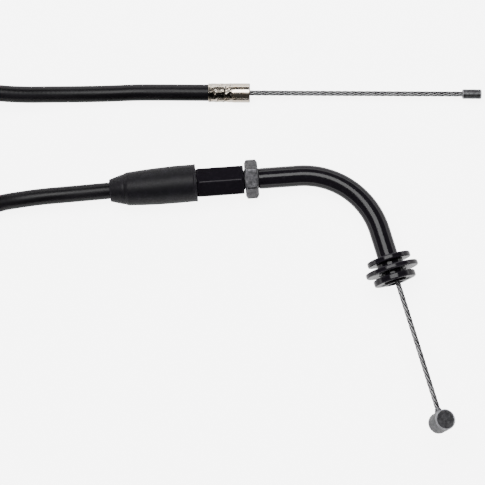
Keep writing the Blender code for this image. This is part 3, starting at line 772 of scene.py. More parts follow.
def cast_finish(looks, name, tone, metallic=0.8):
    """Die-cast zinc: fine grain, cloudy face, and edges lightened, partly as rubbed wear and partly
    as a painted highlight.
    """
    material, tree, shader = new_finish(name)
    place = own_place(tree)
    grain = noise_of(tree, place, 5.0, 4.0, 0.7)
    cloud = noise_of(tree, place, 0.9, 5.0, 0.65)
    colour = blend_colour(tree, ramp(tree, cloud, 0.32, 0.72), shade(tone, 0.55), shade(tone, 1.5))
    colour = veiled(tree, colour, shade(tone, 0.35), ramp(tree, grain, 0.55, 0.75), 0.5)
    # Lighter edges: partly rubbed wear, partly a painted highlight.
    colour = blend_colour(tree, own_value(tree, "edge"), colour, shade(tone, 4.5))
    connect(tree, shader, base_color=colour, metallic=metallic,
            roughness=ramp(tree, grain, 0.3, 0.75, 0.38, 0.58))
    bumps(tree, shader, (cloud, 0.00005, 0.35), (grain, 0.00003, 0.55))
    return material


def plain_metal_finish(name, tone, roughness, ribs):
    """A hidden metal or nylon layer: a fine winding pattern and a little tarnish."""
    material, tree, shader = new_finish(name)
    place = object_place(tree)
    rings = maths(tree, "SINE", maths(tree, "MULTIPLY", parts_of(tree, place)["X"],
                                      2 * pi / ribs))
    cloud = noise_of(tree, place, 500.0, 3.0)
    colour = blend_colour(tree, ramp(tree, cloud, 0.35, 0.7), shade(tone, 0.75), shade(tone, 1.15))
    connect(tree, shader, base_color=colour,
            roughness=ramp(tree, cloud, 0.3, 0.7, roughness - 0.08, roughness + 0.08))
    bumps(tree, shader, (rings, 0.00006, 0.6))
    return material, shader


def floor_finish(looks):
    material, tree, shader = new_finish("floor_finish")
    cloud = noise_of(tree, object_place(tree), 6.0, 2.0)
    connect(tree, shader, base_color=blend_colour(tree, cloud, shade(looks.floor, 0.99),
                                                  looks.floor), roughness=0.9)
    shader.inputs["Specular IOR Level"].default_value = 0.1
    shader.inputs["Emission Color"].default_value = (1.0, 1.0, 1.0, 1.0)
    seen = add(tree, "ShaderNodeLightPath").outputs["Is Camera Ray"]
    tree.links.new(ramp(tree, seen, 0.0, 1.0, looks.floor_bounce * looks.light,
                        looks.floor_glow * looks.light), shader.inputs["Emission Strength"])
    return material


FINISHES = {}


def finish_of(key):
    """Each finish is made once, from the looks chosen in the panel."""
    if key not in FINISHES:
        looks = bpy.context.scene.cable_looks
        makers = {
            "vinyl": lambda: vinyl_finish(looks),
            "rubber": lambda: rubber_finish(looks),
            "paint": lambda: paint_finish(looks),
            "zinc": lambda: zinc_finish(looks),
            "nickel": lambda: nickel_finish(looks),
            "strand": lambda: strand_finish(looks),
            "barrel": lambda: cast_finish(looks, "barrel_zinc_finish", looks.barrel),
            "solder": lambda: cast_finish(looks, "solder_finish", shade(looks.barrel, 0.9), 1.0),
            "nipple": lambda: cast_finish(looks, "nipple_steel_finish", looks.nipple, 0.85),
            "floor": lambda: floor_finish(looks),
        }
        FINISHES[key] = makers[key]()
    return FINISHES[key]


# Sizes and looks that a user would change

def length_of(name, description, default, low, high):
    return bpy.props.FloatProperty(
        name=name, description=description, default=default, min=low, max=high, precision=5,
        subtype="DISTANCE", unit="LENGTH")


def level_of(name, description, default, low, high):
    return bpy.props.FloatProperty(name=name, description=description, default=default, min=low,
                                   max=high)


def colour_of(name, description, default):
    return bpy.props.FloatVectorProperty(name=name, description=description, default=default,
                                         size=3, min=0.0, max=1.0, subtype="COLOR")


class CableSizes(bpy.types.PropertyGroup):
    casing_diameter: length_of("Casing diameter", "Outside of the vinyl casing", 0.0050, 0.003,
        0.008)
    sheath_wall: length_of("Sheath wall", "Thickness of the vinyl over the steel winding", 0.0005,
        0.0002, 0.001)
    casing_step: length_of("Casing step", "Distance between two rings of the casing's surface",
        0.002, 0.001, 0.006)
    boot_crease: length_of("Boot crease", "Depth of the crease round the boot's cone", 0.00014,
        0.0, 0.0005)
    thread_pitch: length_of("Thread pitch", "Advance of the elbow's thread in one turn", 0.001,
        0.0005, 0.002)
    thread_depth: length_of("Thread depth", "From the crest of the thread to its root", 0.0005,
        0.0001, 0.0007)
    thread_length: length_of("Thread end",
        "Where the thread runs out, from the start of the hexagon", 0.0192, 0.015, 0.026)
    rim_round: length_of("Rim rounding", "Radius at the edges of the flange discs", 0.0004, 0.0001,
        0.0007)
    wire_diameter: length_of("Inner wire diameter", "Outside of the steel rope", 0.0016, 0.001,
        0.002)
    strands: bpy.props.IntProperty(name="Strands",
        description="Strands laid round the core of the inner wire", default=6, min=3, max=9)
    lay_length: length_of("Lay length", "Advance of a strand in one turn round the core", 0.0132,
        0.006, 0.03)
    crimp_depth: length_of("Crimp depth", "How deep the ferrule's crimp is pressed in", 0.00016,
        0.0, 0.00022)


class CableLooks(bpy.types.PropertyGroup):
    vinyl: colour_of("Casing", "Colour of the vinyl casing", (0.0062, 0.0056, 0.0071))
    winding_pitch: length_of("Winding pitch", "Pitch of the steel winding that shows in the vinyl",
        0.0014, 0.0008, 0.003)
    rubber: colour_of("Boot", "Colour of the moulded rubber boot", (0.0060, 0.0051, 0.0074))
    paint: colour_of("Elbow and sleeve", "Colour of the gloss paint", (0.0076, 0.0064, 0.0088))
    zinc: colour_of("Lock nut", "Colour of the nut's zinc plate", (0.053, 0.052, 0.056))
    nickel: colour_of("Ferrule", "Colour of the nickel plate", (0.66, 0.60, 0.52))
    steel: colour_of("Inner wire", "Colour of the steel strands", (0.20, 0.20, 0.205))
    barrel: colour_of("Barrel nipple", "Colour of the cast barrel", (0.074, 0.074, 0.079))
    nipple: colour_of("Carburettor nipple", "Colour of the blackened steel nipple",
        (0.06, 0.06, 0.063))
    floor: colour_of("Floor", "Colour of the pale floor", (0.93, 0.93, 0.93))
    floor_glow: level_of("Floor glow", "Light that the translucent floor gives by itself", 6.0,
        0.0, 20.0)
    floor_bounce: level_of("Floor bounce", "Light that the floor throws back onto the cable", 0.65,
        0.0, 10.0)
    softbox: level_of("Softbox", "Brightness of the softbox's face", 11.0, 0.0, 40.0)
    wall: level_of("Wall", "Brightness of the wall round the floor", 4.2, 0.0, 20.0)
    ceiling: level_of("Ceiling", "Brightness of the dark ceiling", 0.05, 0.0, 5.0)
    light: level_of("Light", "Strength of all the studio light", 1.0, 0.1, 5.0)


# Operators

class CABLE_OT_stage(bpy.types.Operator):
    """Sets up the floor, the soft studio light and the camera above the cable"""
    bl_idname = "cable.stage"
    bl_label = "Stage"

    def execute(self, context):
        looks = context.scene.cable_looks
        mesh = bpy.data.meshes.new("floor")
        mesh.from_pydata([(x * FLOOR_REACH, y * FLOOR_REACH, 0.0) for x, y in
                          ((-1, -1), (1, -1), (1, 1), (-1, 1))], [], [(0, 1, 2, 3)])
        mesh.materials.append(finish_of("floor"))
        floor = bpy.data.objects.new("floor", mesh)
        context.scene.collection.objects.link(floor)
        self.surroundings(context, looks)
        self.softbox(context, looks)
        self.camera(context)
        return {"FINISHED"}

    def surroundings(self, context, looks):
        """A dark ceiling over a bright wall all round, as in a small product studio."""
        world = bpy.data.worlds.new("studio")
        world.use_nodes = True
        tree = world.node_tree
        way = add(tree, "ShaderNodeTexCoord").outputs["Generated"]
        strength = ramp(tree, parts_of(tree, way)["Z"], WALL_TOP, CEILING_START,
                        looks.wall * looks.light, looks.ceiling * looks.light)
        tree.links.new(strength, tree.nodes["Background"].inputs["Strength"])
        tree.nodes["Background"].inputs["Color"].default_value = (1.0, 1.0, 1.0, 1.0)
        context.scene.world = world

    def softbox(self, context, looks):
        """One wide box high above, leaning to the side that the ferrule lies on."""
        light = bpy.data.lights.new("softbox", "AREA")
        light.shape = "RECTANGLE"
        light.size, light.size_y = SOFTBOX_SIZE
        light.energy = looks.softbox * pi * light.size * light.size_y * looks.light
        item = bpy.data.objects.new("softbox", light)
        item.location = VIEW_MIDDLE + SOFTBOX_DISTANCE * Vector(
            (-sin(SOFTBOX_TURN) * sin(SOFTBOX_LEAN), cos(SOFTBOX_TURN) * sin(SOFTBOX_LEAN),
             cos(SOFTBOX_LEAN)))
        item.rotation_euler = (-SOFTBOX_LEAN, 0.0, SOFTBOX_TURN)
        item.visible_camera = False
        context.scene.collection.objects.link(item)

    def camera(self, context):
        lens = bpy.data.cameras.new("camera")
        lens.lens = SENSOR_WIDTH * VIEW_DISTANCE / VIEW_WIDTH
        lens.clip_start, lens.clip_end = 0.05, 20.0
        eye = bpy.data.objects.new("camera", lens)
        eye.location = VIEW_MIDDLE + Vector((0.0, 0.0, VIEW_DISTANCE))
        eye.rotation_euler = (0.0, 0.0, VIEW_ROLL)
        context.scene.collection.objects.link(eye)
        context.scene.camera = eye


class CABLE_OT_casing(bpy.types.Operator):
    """Lays the whole casing as one tube, from the adjuster through its coil to the ferrule"""
    bl_idname = "cable.casing"
    bl_label = "Casing"

    def execute(self, context):
        sizes = context.scene.cable_sizes
        radius = sizes.casing_diameter / MM / 2
        bore = radius - sizes.sheath_wall / MM
        points, length = smooth_route(casing_route(), sizes.casing_step / MM)
        outer = divided([(radius, 0.15), (radius, length - 0.15)], sizes.casing_step / MM)
        inner = divided([(bore, length), (bore, 0.0)], sizes.casing_step / MM * 2)
        profile = [(radius - 0.15, 0.0)] + outer + [(radius - 0.15, length)] + inner
        mesh = turned("casing", profile, Matrix.Scale(MM, 4), True, 24,
                      along=onto_path(points, length))
        cord = show("casing", mesh, finish_of("vinyl"), "casing",
                    ("throttle_casing_sheath", "casing_run_throttle", "casing_coil",
                     "casing_run_carb", "carb_casing_sheath"))
        self.declare(cord, points, length, sizes.casing_diameter)
        return {"FINISHED"}

    def declare(self, cord, points, length, diameter):
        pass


class CABLE_OT_ferrule(bpy.types.Operator):
    """Builds the crimped nickel ferrule at the carburettor end"""
    bl_idname = "cable.ferrule"
    bl_label = "Ferrule"

    def execute(self, context):
        depth = context.scene.cable_sizes.crimp_depth / MM
        crimp_end = FERRULE_CRIMP - FERRULE_LENGTH
        outline = rounded([
            (FERRULE_BORE, -FERRULE_LENGTH, 0.0), (FERRULE_RADIUS - 0.04, -FERRULE_LENGTH, 0.08),
            (FERRULE_RADIUS, crimp_end, 0.0), (FERRULE_RADIUS, 0.0, 0.28),
            (WIRE_HOLE, 0.0, 0.15), (WIRE_HOLE, -FERRULE_FACE, 0.0),
            (FERRULE_BORE, -FERRULE_FACE, 0.0)], True, 6)

        def crimped(radius, angle, z):
            outside = radius > FERRULE_BORE + 0.12
            inside_crimp = ease((crimp_end - 0.1 - z) / 0.5) * ease(
                (z + FERRULE_LENGTH) / 0.5)
            slant = angle + 0.55 * z + 0.5 * lumps_of(radius, angle, z, 2.2, 1.0, 4.0)
            jaws = 0.5 + 0.5 * np.cos(CRIMP_JAWS * slant)
            rows = 0.5 + 0.5 * np.cos(2 * pi * (z - crimp_end) / CRIMP_ROWS
                                      + 1.7 * np.sin(CRIMP_JAWS * slant))
            rough = lumps_of(radius, angle, z, 0.75, 1.0, 3.0)
            pressed = inside_crimp * (0.55 * jaws + 0.45 * rows + 0.7 * rough) * depth
            ring = np.exp(-((z - crimp_end + 0.05) / 0.22) ** 2) * RING_DEPTH
            round_dimple = np.angle(np.exp(1j * (angle - DIMPLE_ANGLE))) * FERRULE_RADIUS
            dimple = DIMPLE_DEPTH * np.exp(-((z + DIMPLE_DISTANCE) ** 2 + round_dimple ** 2) / 0.36)
            return np.where(outside, radius - np.maximum(pressed, 0.0) - ring - dimple, radius), z

        mesh = turned("ferrule", divided(outline, 0.16, True), carb_place(), True, 120, crimped)
        show("ferrule", mesh, finish_of("nickel"), "casing", ("carb_ferrule",))
        return {"FINISHED"}


class CABLE_OT_boot(bpy.types.Operator):
    """Builds the moulded rubber boot with its creased cone"""
    bl_idname = "cable.boot"
    bl_label = "Boot"

    def execute(self, context):
        crease = context.scene.cable_sizes.boot_crease / MM
        wide = BOOT_END - CASING_PIVOT
        mouth = BOOT_REACH - CASING_PIVOT - BOOT_LENGTH
        outline = rounded([
            (BOOT_GRIP, mouth, 0.15), (3.35, mouth, 0.35), (4.62, mouth + 4.2, 0.6),
            (5.02, mouth + 5.4, 1.5), (5.32, mouth + 9.5, 2.5), (5.54, mouth + 15.0, 3.0),
            (5.64, mouth + 20.0, 2.0), (5.62, wide - 0.95, 0.2), (5.54, wide - 0.75, 0.1),
            (BOOT_LIP, wide - 0.6, 0.12), (BOOT_LIP, wide, 0.22),
            (BOOT_BORE, wide, 0.2), (BOOT_BORE, mouth + 12.0, 0.8),
            (BOOT_GRIP, mouth + 6.0, 0.8)], True, 5)

        def moulded(radius, angle, z):
            skin = radius > BOOT_BORE + 0.5
            fold = crease * np.exp(-((z - mouth - 4.35) / 0.28) ** 2)
            lumps = lumps_of(radius, angle, z, 6.0, 0.07, 1.0)
            radius = np.where(skin | (z < mouth + 11.0), radius - fold, radius)
            radius = np.where(skin, radius + lumps, radius)
            return np.minimum(radius, BOOT_REST / np.maximum(np.cos(angle), 0.01)), z

        mesh = turned("boot", divided(outline, 0.45, True), casing_place(), True, 96, moulded)
        show("boot", mesh, finish_of("rubber"), "boot", ("rubber_boot",))
        return {"FINISHED"}


class CABLE_OT_sleeve(bpy.types.Operator):
    """Builds the hexagonal adjuster sleeve with its round shank"""
    bl_idname = "cable.sleeve"
    bl_label = "Adjuster sleeve"

    def execute(self, context):
        low = SLEEVE_FLATS / 2 * 0.965
        wide = SLEEVE_FLATS / sqrt(3) + 0.12
        rise = wide - low
        outline = rounded([
            (SHANK_RADIUS, -SHANK_LENGTH, 0.3), (SHANK_RADIUS, 0.0, 0.1), (low, 0.0, 0.1),
            (wide, rise * 0.9, 0.1), (wide, HEX_LENGTH - rise * 0.9, 0.1),
            (low, HEX_LENGTH, 0.1), (THREAD_BORE + 0.3, HEX_LENGTH, 0.08),
            (THREAD_BORE, HEX_LENGTH - 0.3, 0.0), (THREAD_BORE, THREAD_START, 0.0),
            (WIRE_HOLE, THREAD_START, 0.0), (WIRE_HOLE, CAP_SEAT_DEPTH, 0.0),
            (CAP_SEAT_RADIUS, CAP_SEAT_DEPTH, 0.0), (CAP_SEAT_RADIUS, -SHANK_LENGTH, 0.2)], True)

        def cut(radius, angle, z):
            wave = lumps_of(np.full_like(radius, SHANK_RADIUS), angle, z, 2.6, 0.05, 5.0)
            return hexed(radius, angle, z, SLEEVE_FLATS, pi / 6, SHANK_RADIUS + 0.05,
                         wave * ease((radius - SHANK_RADIUS) / 0.3), 70.0)

        mesh = turned("adjuster_sleeve_shell", divided(outline, 0.3, True), adjuster_place(), True,
                      180, cut)
        show("adjuster_sleeve_shell", mesh, finish_of("paint"), "adjuster",
             ("adjuster_sleeve",))
        return {"FINISHED"}


class CABLE_OT_lock_nut(bpy.types.Operator):
    """Builds the chamfered lock nut"""
    bl_idname = "cable.lock_nut"
    bl_label = "Lock nut"

    def execute(self, context):
        start = HEX_LENGTH + NUT_GAP
        end = start + NUT_THICKNESS
        low = NUT_FLATS / 2 * 0.96
        wide = NUT_FLATS / sqrt(3) + 0.15
        rise = (wide - low) * 0.6
        outline = rounded([
            (THREAD_BORE + 0.35, start, 0.05), (low, start, 0.12), (wide, start + rise, 0.12),
            (wide, end - rise, 0.12), (low, end, 0.12), (THREAD_BORE + 0.35, end, 0.05),
            (THREAD_BORE, end - 0.35, 0.05), (THREAD_BORE, start + 0.35, 0.05)], True)

        def cut(radius, angle, z):
            wave = lumps_of(np.full_like(radius, 5.0), angle, z, 1.5, 0.03, 9.0)
            return hexed(radius, angle, z, NUT_FLATS, 0.0, THREAD_BORE + 0.6, wave, 60.0)

        mesh = turned("lock_nut_body", divided(outline, 0.25, True), adjuster_place(), True, 180,
                      cut)
        show("lock_nut_body", mesh, finish_of("zinc"), "nut", ("lock_nut",))
        return {"FINISHED"}


class CABLE_OT_elbow(bpy.types.Operator):
    """Bends the painted elbow tube, with its cut thread and the rolled lip at its outlet"""
    bl_idname = "cable.elbow"
    bl_label = "Elbow tube"

    def execute(self, context):
        sizes = context.scene.cable_sizes
        pitch, depth = sizes.thread_pitch / MM, sizes.thread_depth / MM
        runout = sizes.thread_length / MM
        end = BEND_START + BEND_RADIUS * BEND_ANGLE + OUTLET_LENGTH
        bore = TUBE_RADIUS - TUBE_WALL
        profile = [(bore + 0.1, TUBE_START), (TUBE_RADIUS - 0.35, TUBE_START)]
        profile += divided([(TUBE_RADIUS, TUBE_START + 0.3), (TUBE_RADIUS, runout + 0.5)],
                           pitch / 12)
        profile += divided([(TUBE_RADIUS, runout + 0.9), (TUBE_RADIUS, end - 0.75)], 0.8)
        profile += rounded([(TUBE_RADIUS, end - 0.6, 0.0), (TUBE_RADIUS, end - 0.5, 0.1),
                            (TUBE_RADIUS + 0.42, end - 0.34, 0.14),
                            (TUBE_RADIUS + 0.36, end, 0.2), (bore + 0.25, end, 0.25),
                            (bore, end - 0.5, 0.0)], False, 5)
        profile += divided([(bore, end - 1.0), (bore, TUBE_START + 0.1)], 1.6)

        def threaded(radius, angle, z):
            turn = z / pitch - angle / (2 * pi)
            crest = 1.0 - np.abs(2.0 * (turn - np.floor(turn)) - 1.0)
            height = ease((crest - 0.10) / 0.78)
            share = ease((runout - z) / 1.3) * ease((z - TUBE_START) / 0.5)
            outside = radius > bore + 0.4
            cut = np.where(outside & (z < runout), depth * share * (1.0 - height), 0.0)
            dull = 0.03 * ease((runout + 0.5 - z) / 0.5) * outside
            return radius - cut - np.where(z > TUBE_START + 0.2, dull, 0.0), z

        mesh = turned("elbow_pipe", profile, elbow_place(), True, 56, threaded, onto_elbow)
        show("elbow_pipe", mesh, finish_of("paint"), "elbow", ("elbow_tube",))
        return {"FINISHED"}


class CABLE_OT_flange(bpy.types.Operator):
    """Turns the two-disc bush and the end flange at the outlet"""
    bl_idname = "cable.flange"
    bl_label = "Outlet flange"

    def execute(self, context):
        edge = context.scene.cable_sizes.rim_round / MM
        bush = rounded([
            (FLANGE_BORE, COLLAR_START, 0.15), (COLLAR_RADIUS, COLLAR_START, edge),
            (COLLAR_RADIUS, COLLAR_END, edge), (HUB_RADIUS, COLLAR_END, 0.3),
            (HUB_RADIUS, DISC_START, 0.3), (DISC_RADIUS, DISC_START, edge),
            (DISC_RADIUS, DISC_END, edge), (HUB_RADIUS + 0.4, DISC_END, 0.1),
            (HUB_RADIUS + 0.2, DISC_END - 0.2, 0.1), (FLANGE_BORE, DISC_END - 0.2, 0.1)], True, 6)
        plate = rounded([
            (FLANGE_BORE, HUB_START, 0.1), (HUB_RADIUS, HUB_START, 0.1),
            (HUB_RADIUS, PLATE_START, 0.25), (PLATE_RADIUS, PLATE_START, edge),
            (PLATE_RADIUS, PLATE_END, edge), (HUB_RADIUS + 0.5, PLATE_END, 0.2),
            (HUB_RADIUS + 0.2, PLATE_END - 0.25, 0.15),
            (FLANGE_BORE, PLATE_END - 0.25, 0.1)], True, 6)

        def cast(radius, angle, z):
            lumps = lumps_of(radius, angle, z, 3.5, 0.035, 7.0)
            return radius + lumps * (radius > HUB_RADIUS), z

        for name, outline, node in (("flange_discs", bush, "flange_bush"),
                                    ("flange_plate", plate, "end_flange")):
            mesh = turned(name, divided(outline, 0.45, True), outlet_place(), True, 128, cast)
            show(name, mesh, finish_of("paint"), "elbow", (node,))
        return {"FINISHED"}


class CABLE_OT_wires(bpy.types.Operator):
    """Lays both stretches of inner wire: steel strands wound round a core"""
    bl_idname = "cable.wires"
    bl_label = "Inner wires"

    def execute(self, context):
        rope = self.rope_tree()
        throttle_start = Matrix.Translation((0.0, 0.0, -WIRE_HIDDEN))
        carb_start = Matrix.Translation((0.0, 0.0, -CARB_WIRE_HIDDEN))
        self.rope("throttle_rope", rope, wire_place() @ throttle_start,
                  WIRE_HIDDEN + BARREL_DISTANCE - BARREL_RADIUS * 0.5, "throttle_inner",
                  ("throttle_wire",))
        self.rope("carburettor_rope", rope, carb_place() @ carb_start,
                  CARB_WIRE_HIDDEN + CARB_WIRE_LENGTH + CARB_WIRE_DEPTH, "carb_inner",
                  ("carb_wire",))
        bpy.data.node_groups.remove(rope)
        return {"FINISHED"}

    def rope(self, name, tree, place, length, body, nodes):
        sizes = bpy.context.scene.cable_sizes
        carrier = bpy.data.objects.new(f"{name}_carrier", bpy.data.meshes.new(name))
        bpy.context.scene.collection.objects.link(carrier)
        modifier = carrier.modifiers.new("Rope", "NODES")
        modifier.node_group = tree
        values = {"Length": length * MM, "Radius": sizes.wire_diameter / 2,
                  "Strands": sizes.strands, "Lay": sizes.lay_length,
                  "Finish": finish_of("strand")}
        for item in tree.interface.items_tree:
            if item.item_type == "SOCKET" and item.in_out == "INPUT" and item.name in values:
                modifier[item.identifier] = values[item.name]
        context = bpy.context
        context.view_layer.update()
        evaluated = carrier.evaluated_get(context.evaluated_depsgraph_get())
        mesh = bpy.data.meshes.new_from_object(evaluated)
        carrier.modifiers.remove(modifier)
        bpy.data.objects.remove(carrier)
        if not mesh.polygons:
            raise RuntimeError(f"{name}: the rope tree made no faces")
        mesh.name = name
        mesh.transform(place @ Matrix.Scale(1 / MM, 4))
        mesh.shade_smooth()
        show(name, mesh, finish_of("strand"), body, nodes)

    def rope_tree(self):
        """Strands swept along a spiral, copied round the axis, with a straight core."""
        tree = bpy.data.node_groups.new("wound_rope", "GeometryNodeTree")
        face = tree.interface
        for title, kind in (("Length", "Float"), ("Radius", "Float"), ("Strands", "Int"),
                            ("Lay", "Float"), ("Finish", "Material")):
            face.new_socket(title, in_out="INPUT", socket_type=f"NodeSocket{kind}")
        face.new_socket("Geometry", in_out="OUTPUT", socket_type="NodeSocketGeometry")
        given = tree.nodes.new("NodeGroupInput").outputs
        strand = maths(tree, "DIVIDE", given["Radius"], 3.0)
        orbit = maths(tree, "MULTIPLY", strand, 2.0)
        circle = add(tree, "GeometryNodeCurvePrimitiveCircle",
                     {"Resolution": 12, "Radius": strand}).outputs["Curve"]
        side = add(tree, "GeometryNodeStoreNamedAttribute",
                   {"Geometry": circle, "Name": "strand_side",
                    "Value": tree.nodes.new("GeometryNodeInputPosition").outputs["Position"]},
                   data_type="FLOAT_VECTOR", domain="POINT").outputs["Geometry"]
        spiral = add(tree, "GeometryNodeCurveSpiral", {
            "Resolution": 28, "Rotations": maths(tree, "DIVIDE", given["Length"],
                                                      given["Lay"]),
            "Start Radius": orbit, "End Radius": orbit, "Height": given["Length"]})
        line = add(tree, "GeometryNodeCurvePrimitiveLine")
        tip = add(tree, "ShaderNodeCombineXYZ", {"Z": given["Length"]}).outputs["Vector"]
        tree.links.new(tip, line.inputs["End"])
        core = add(tree, "GeometryNodeResampleCurve", {"Curve": line.outputs["Curve"],
                                                       "Count": 20}).outputs["Curve"]
        count = maths(tree, "DIVIDE", 2 * pi, given["Strands"])
        turn = maths(tree, "MULTIPLY", tree.nodes.new("GeometryNodeInputIndex").outputs[0],
                          count)
        spin = add(tree, "ShaderNodeCombineXYZ", {"Z": turn}).outputs["Vector"]
        places = add(tree, "GeometryNodeMeshLine", {"Count": given["Strands"],
                                                    "Offset": (0.0, 0.0, 0.0)}).outputs["Mesh"]
        laid = add(tree, "GeometryNodeInstanceOnPoints", {
            "Points": places, "Instance": self.swept(tree, spiral.outputs["Curve"], side),
            "Rotation": spin}).outputs["Instances"]
        both = tree.nodes.new("GeometryNodeJoinGeometry")
        tree.links.new(laid, both.inputs[0])
        tree.links.new(self.swept(tree, core, side), both.inputs[0])
        whole = add(tree, "GeometryNodeRealizeInstances",
                    {"Geometry": both.outputs[0]}).outputs["Geometry"]
        spot = tree.nodes.new("GeometryNodeInputPosition").outputs["Position"]
        flat = add(tree, "ShaderNodeVectorMath", {0: spot, 1: (1.0, 1.0, 0.0)},
                   operation="MULTIPLY").outputs["Vector"]
        reach = add(tree, "ShaderNodeVectorMath", {0: flat}, operation="LENGTH").outputs["Value"]
        # Each point's distance from the rope's axis, which the strand finish uses to paint shade
        # into the crevices between strands.
        marked = add(tree, "GeometryNodeStoreNamedAttribute",
                     {"Geometry": whole, "Name": "strand_depth",
                      "Value": maths(tree, "DIVIDE", reach, given["Radius"])},
                     data_type="FLOAT", domain="POINT").outputs["Geometry"]
        coated = add(tree, "GeometryNodeSetMaterial",
                     {"Geometry": marked, "Material": given["Finish"]}).outputs["Geometry"]
        tree.links.new(coated, tree.nodes.new("NodeGroupOutput").inputs["Geometry"])
        return tree

    def swept(self, tree, curve, side):
        """A round bar along the curve that remembers how far along it each point is."""
        run = tree.nodes.new("GeometryNodeSplineParameter").outputs["Length"]
        marked = add(tree, "GeometryNodeStoreNamedAttribute",
                     {"Geometry": curve, "Name": "strand_run", "Value": run},
                     data_type="FLOAT", domain="POINT").outputs["Geometry"]
        return add(tree, "GeometryNodeCurveToMesh",
                   {"Curve": marked, "Profile Curve": side, "Fill Caps": True}).outputs["Mesh"]


class CABLE_OT_barrel(bpy.types.Operator):
    """Casts the barrel nipple and the solder where the wire enters it"""
    bl_idname = "cable.barrel"
    bl_label = "Barrel nipple"

    def execute(self, context):
        half = BARREL_LENGTH / 2
        outline = rounded([
            (0.0, half - 0.10, 0.0), (2.68, half - 0.08, 0.10), (2.84, half, 0.08),
            (BARREL_RADIUS - 0.15, half, 0.06), (BARREL_RADIUS, half - 0.16, 0.08),
            (BARREL_RADIUS, -half + 0.3, 0.12), (BARREL_RADIUS - 0.3, -half, 0.12),
            (2.2, -half, 0.1), (2.0, -half + 0.08, 0.1), (0.0, -half + 0.1, 0.0)], False, 5)

        def cast(radius, angle, z):
            lumps = lumps_of(radius, angle, z, 1.1, 0.05, 11.0)
            outer = radius > BARREL_RADIUS - 0.15
            face = (np.abs(z) > half - 0.2) & (radius < BARREL_RADIUS - 0.3)
            return np.where(outer, radius + lumps * 0.6, radius), np.where(
                face, z - np.sign(z) * np.abs(lumps) * ease(radius / 0.5), z)

        mesh = turned("barrel", divided(outline, 0.22), barrel_place(), False, 112, cast)
        show("barrel", mesh, finish_of("barrel"), "throttle_inner",
             ("barrel_nipple",))
        face = BARREL_DISTANCE - BARREL_RADIUS
        wire = context.scene.cable_sizes.wire_diameter / MM / 2
        blob = rounded([
            (wire - 0.1, face - 1.05, 0.0), (wire + 0.05, face - 1.0, 0.05),
            (wire + 0.14, face - 0.6, 0.3), (wire + 0.30, face - 0.2, 0.3),
            (wire + 0.50, face + 0.25, 0.1), (wire - 0.1, face + 0.25, 0.0)], True, 4)

        def dripped(radius, angle, z):
            lumps = lumps_of(radius, angle, z, 0.5, 0.12, 13.0)
            return np.where(radius > wire, radius + lumps, radius), z

        mesh = turned("solder_fillet", divided(blob, 0.12, True), wire_place(), True, 48, dripped)
        show("solder_fillet", mesh, finish_of("solder"), "throttle_inner",
             ("throttle_wire_solder",))
        return {"FINISHED"}


class CABLE_OT_nipple(bpy.types.Operator):
    """Turns the small straight nipple at the carburettor end"""
    bl_idname = "cable.nipple"
    bl_label = "Carburettor nipple"

    def execute(self, context):
        start, end = CARB_WIRE_LENGTH, CARB_WIRE_LENGTH + CARB_NIPPLE_LENGTH
        wire = context.scene.cable_sizes.wire_diameter / MM / 2
        outline = rounded([
            (0.0, end - 0.12, 0.0), (0.55, end - 0.10, 0.1), (0.75, end, 0.1),
            (CARB_NIPPLE_RADIUS - 0.24, end, 0.08), (CARB_NIPPLE_RADIUS, end - 0.3, 0.08),
            (CARB_NIPPLE_RADIUS, start + 0.3, 0.08), (CARB_NIPPLE_RADIUS - 0.22, start, 0.08),
            (wire + 0.08, start, 0.05), (wire + 0.05, start + 0.25, 0.0),
            (0.0, start + 0.25, 0.0)], False, 5)

        def drawn(radius, angle, z):
            lumps = lumps_of(radius, angle, z, 0.9, 0.03, 17.0)
            return np.where(radius > wire + 0.3, radius + lumps, radius), z

        mesh = turned("nipple", divided(outline, 0.15), carb_place(), False, 72, drawn)
        show("nipple", mesh, finish_of("nipple"), "carb_inner",
             ("carb_nipple",))
        return {"FINISHED"}


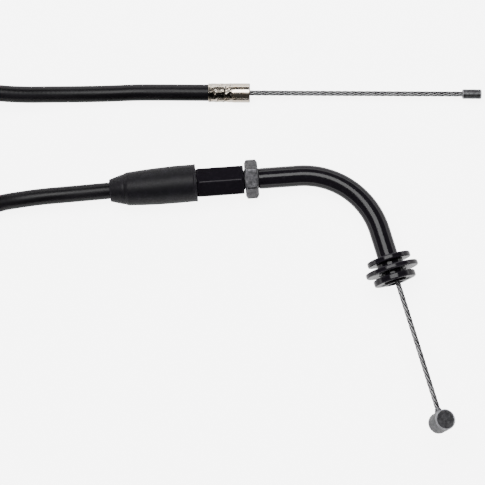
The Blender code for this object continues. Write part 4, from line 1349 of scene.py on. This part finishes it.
class CABLE_OT_inner_layers(bpy.types.Operator):
    """Gives the CAD pieces inside the casing their steel, nylon and nickel finishes"""
    bl_idname = "cable.inner_layers"
    bl_label = "Inner layers"

    def execute(self, context):
        looks = context.scene.cable_looks
        armour, steel = plain_metal_finish("spring_steel_finish", looks.steel[:], 0.36, 0.0009)
        steel.inputs["Metallic"].default_value = 1.0
        liner, _ = plain_metal_finish("liner_nylon_finish", (0.72, 0.71, 0.65), 0.45, 0.004)
        cap, nickel = plain_metal_finish("cap_nickel_finish", looks.nickel[:], 0.22, 0.0006)
        nickel.inputs["Metallic"].default_value = 1.0
        for node, finish, slot in (("throttle_casing_armour", armour, "spring_steel"),
                                   ("carb_casing_armour", armour, "spring_steel"),
                                   ("throttle_casing_liner", liner, "liner_nylon"),
                                   ("carb_casing_liner", liner, "liner_nylon"),
                                   ("casing_end_cap", cap, "nickel_plate")):
            piece = frame["nodes"][node]
            piece.data.materials.clear()
            piece.data.materials.append(finish)
        return {"FINISHED"}


class CABLE_PT_panel(bpy.types.Panel):
    """Lists the pieces of the cable and the sizes and looks that they use"""
    bl_label = "Throttle Cable"
    bl_idname = "CABLE_PT_panel"
    bl_space_type = "VIEW_3D"
    bl_region_type = "UI"
    bl_category = "Throttle Cable"

    def draw(self, context):
        pieces = self.layout.column(align=True)
        for operator in OPERATORS:
            pieces.operator(operator.bl_idname)
        for title, group in (("Sizes", context.scene.cable_sizes),
                             ("Looks", context.scene.cable_looks)):
            box = self.layout.box()
            box.label(text=title)
            for name in group.__annotations__:
                box.prop(group, name)


OPERATORS = (CABLE_OT_stage, CABLE_OT_ferrule, CABLE_OT_casing, CABLE_OT_boot, CABLE_OT_sleeve,
             CABLE_OT_lock_nut, CABLE_OT_elbow, CABLE_OT_flange, CABLE_OT_wires, CABLE_OT_barrel,
             CABLE_OT_nipple, CABLE_OT_inner_layers)
CLASSES = (CableSizes, CableLooks, *OPERATORS, CABLE_PT_panel)


def register():
    for item in CLASSES:
        bpy.utils.register_class(item)
    bpy.types.Scene.cable_sizes = bpy.props.PointerProperty(type=CableSizes)
    bpy.types.Scene.cable_looks = bpy.props.PointerProperty(type=CableLooks)


def unregister():
    del bpy.types.Scene.cable_looks
    del bpy.types.Scene.cable_sizes
    for item in reversed(CLASSES):
        bpy.utils.unregister_class(item)


def clear_defaults():
    for item in list(bpy.data.objects):
        if item.name in ("Cube", "Light", "Camera"):
            bpy.data.objects.remove(item)


def main():
    register()
    clear_defaults()
    bpy.ops.cable.stage()
    bpy.ops.cable.ferrule()
    bpy.ops.cable.casing()
    bpy.ops.cable.boot()
    bpy.ops.cable.sleeve()
    bpy.ops.cable.lock_nut()
    bpy.ops.cable.elbow()
    bpy.ops.cable.flange()
    bpy.ops.cable.wires()
    bpy.ops.cable.barrel()
    bpy.ops.cable.nipple()
    bpy.ops.cable.inner_layers()


if __name__ == "__main__":
    main()
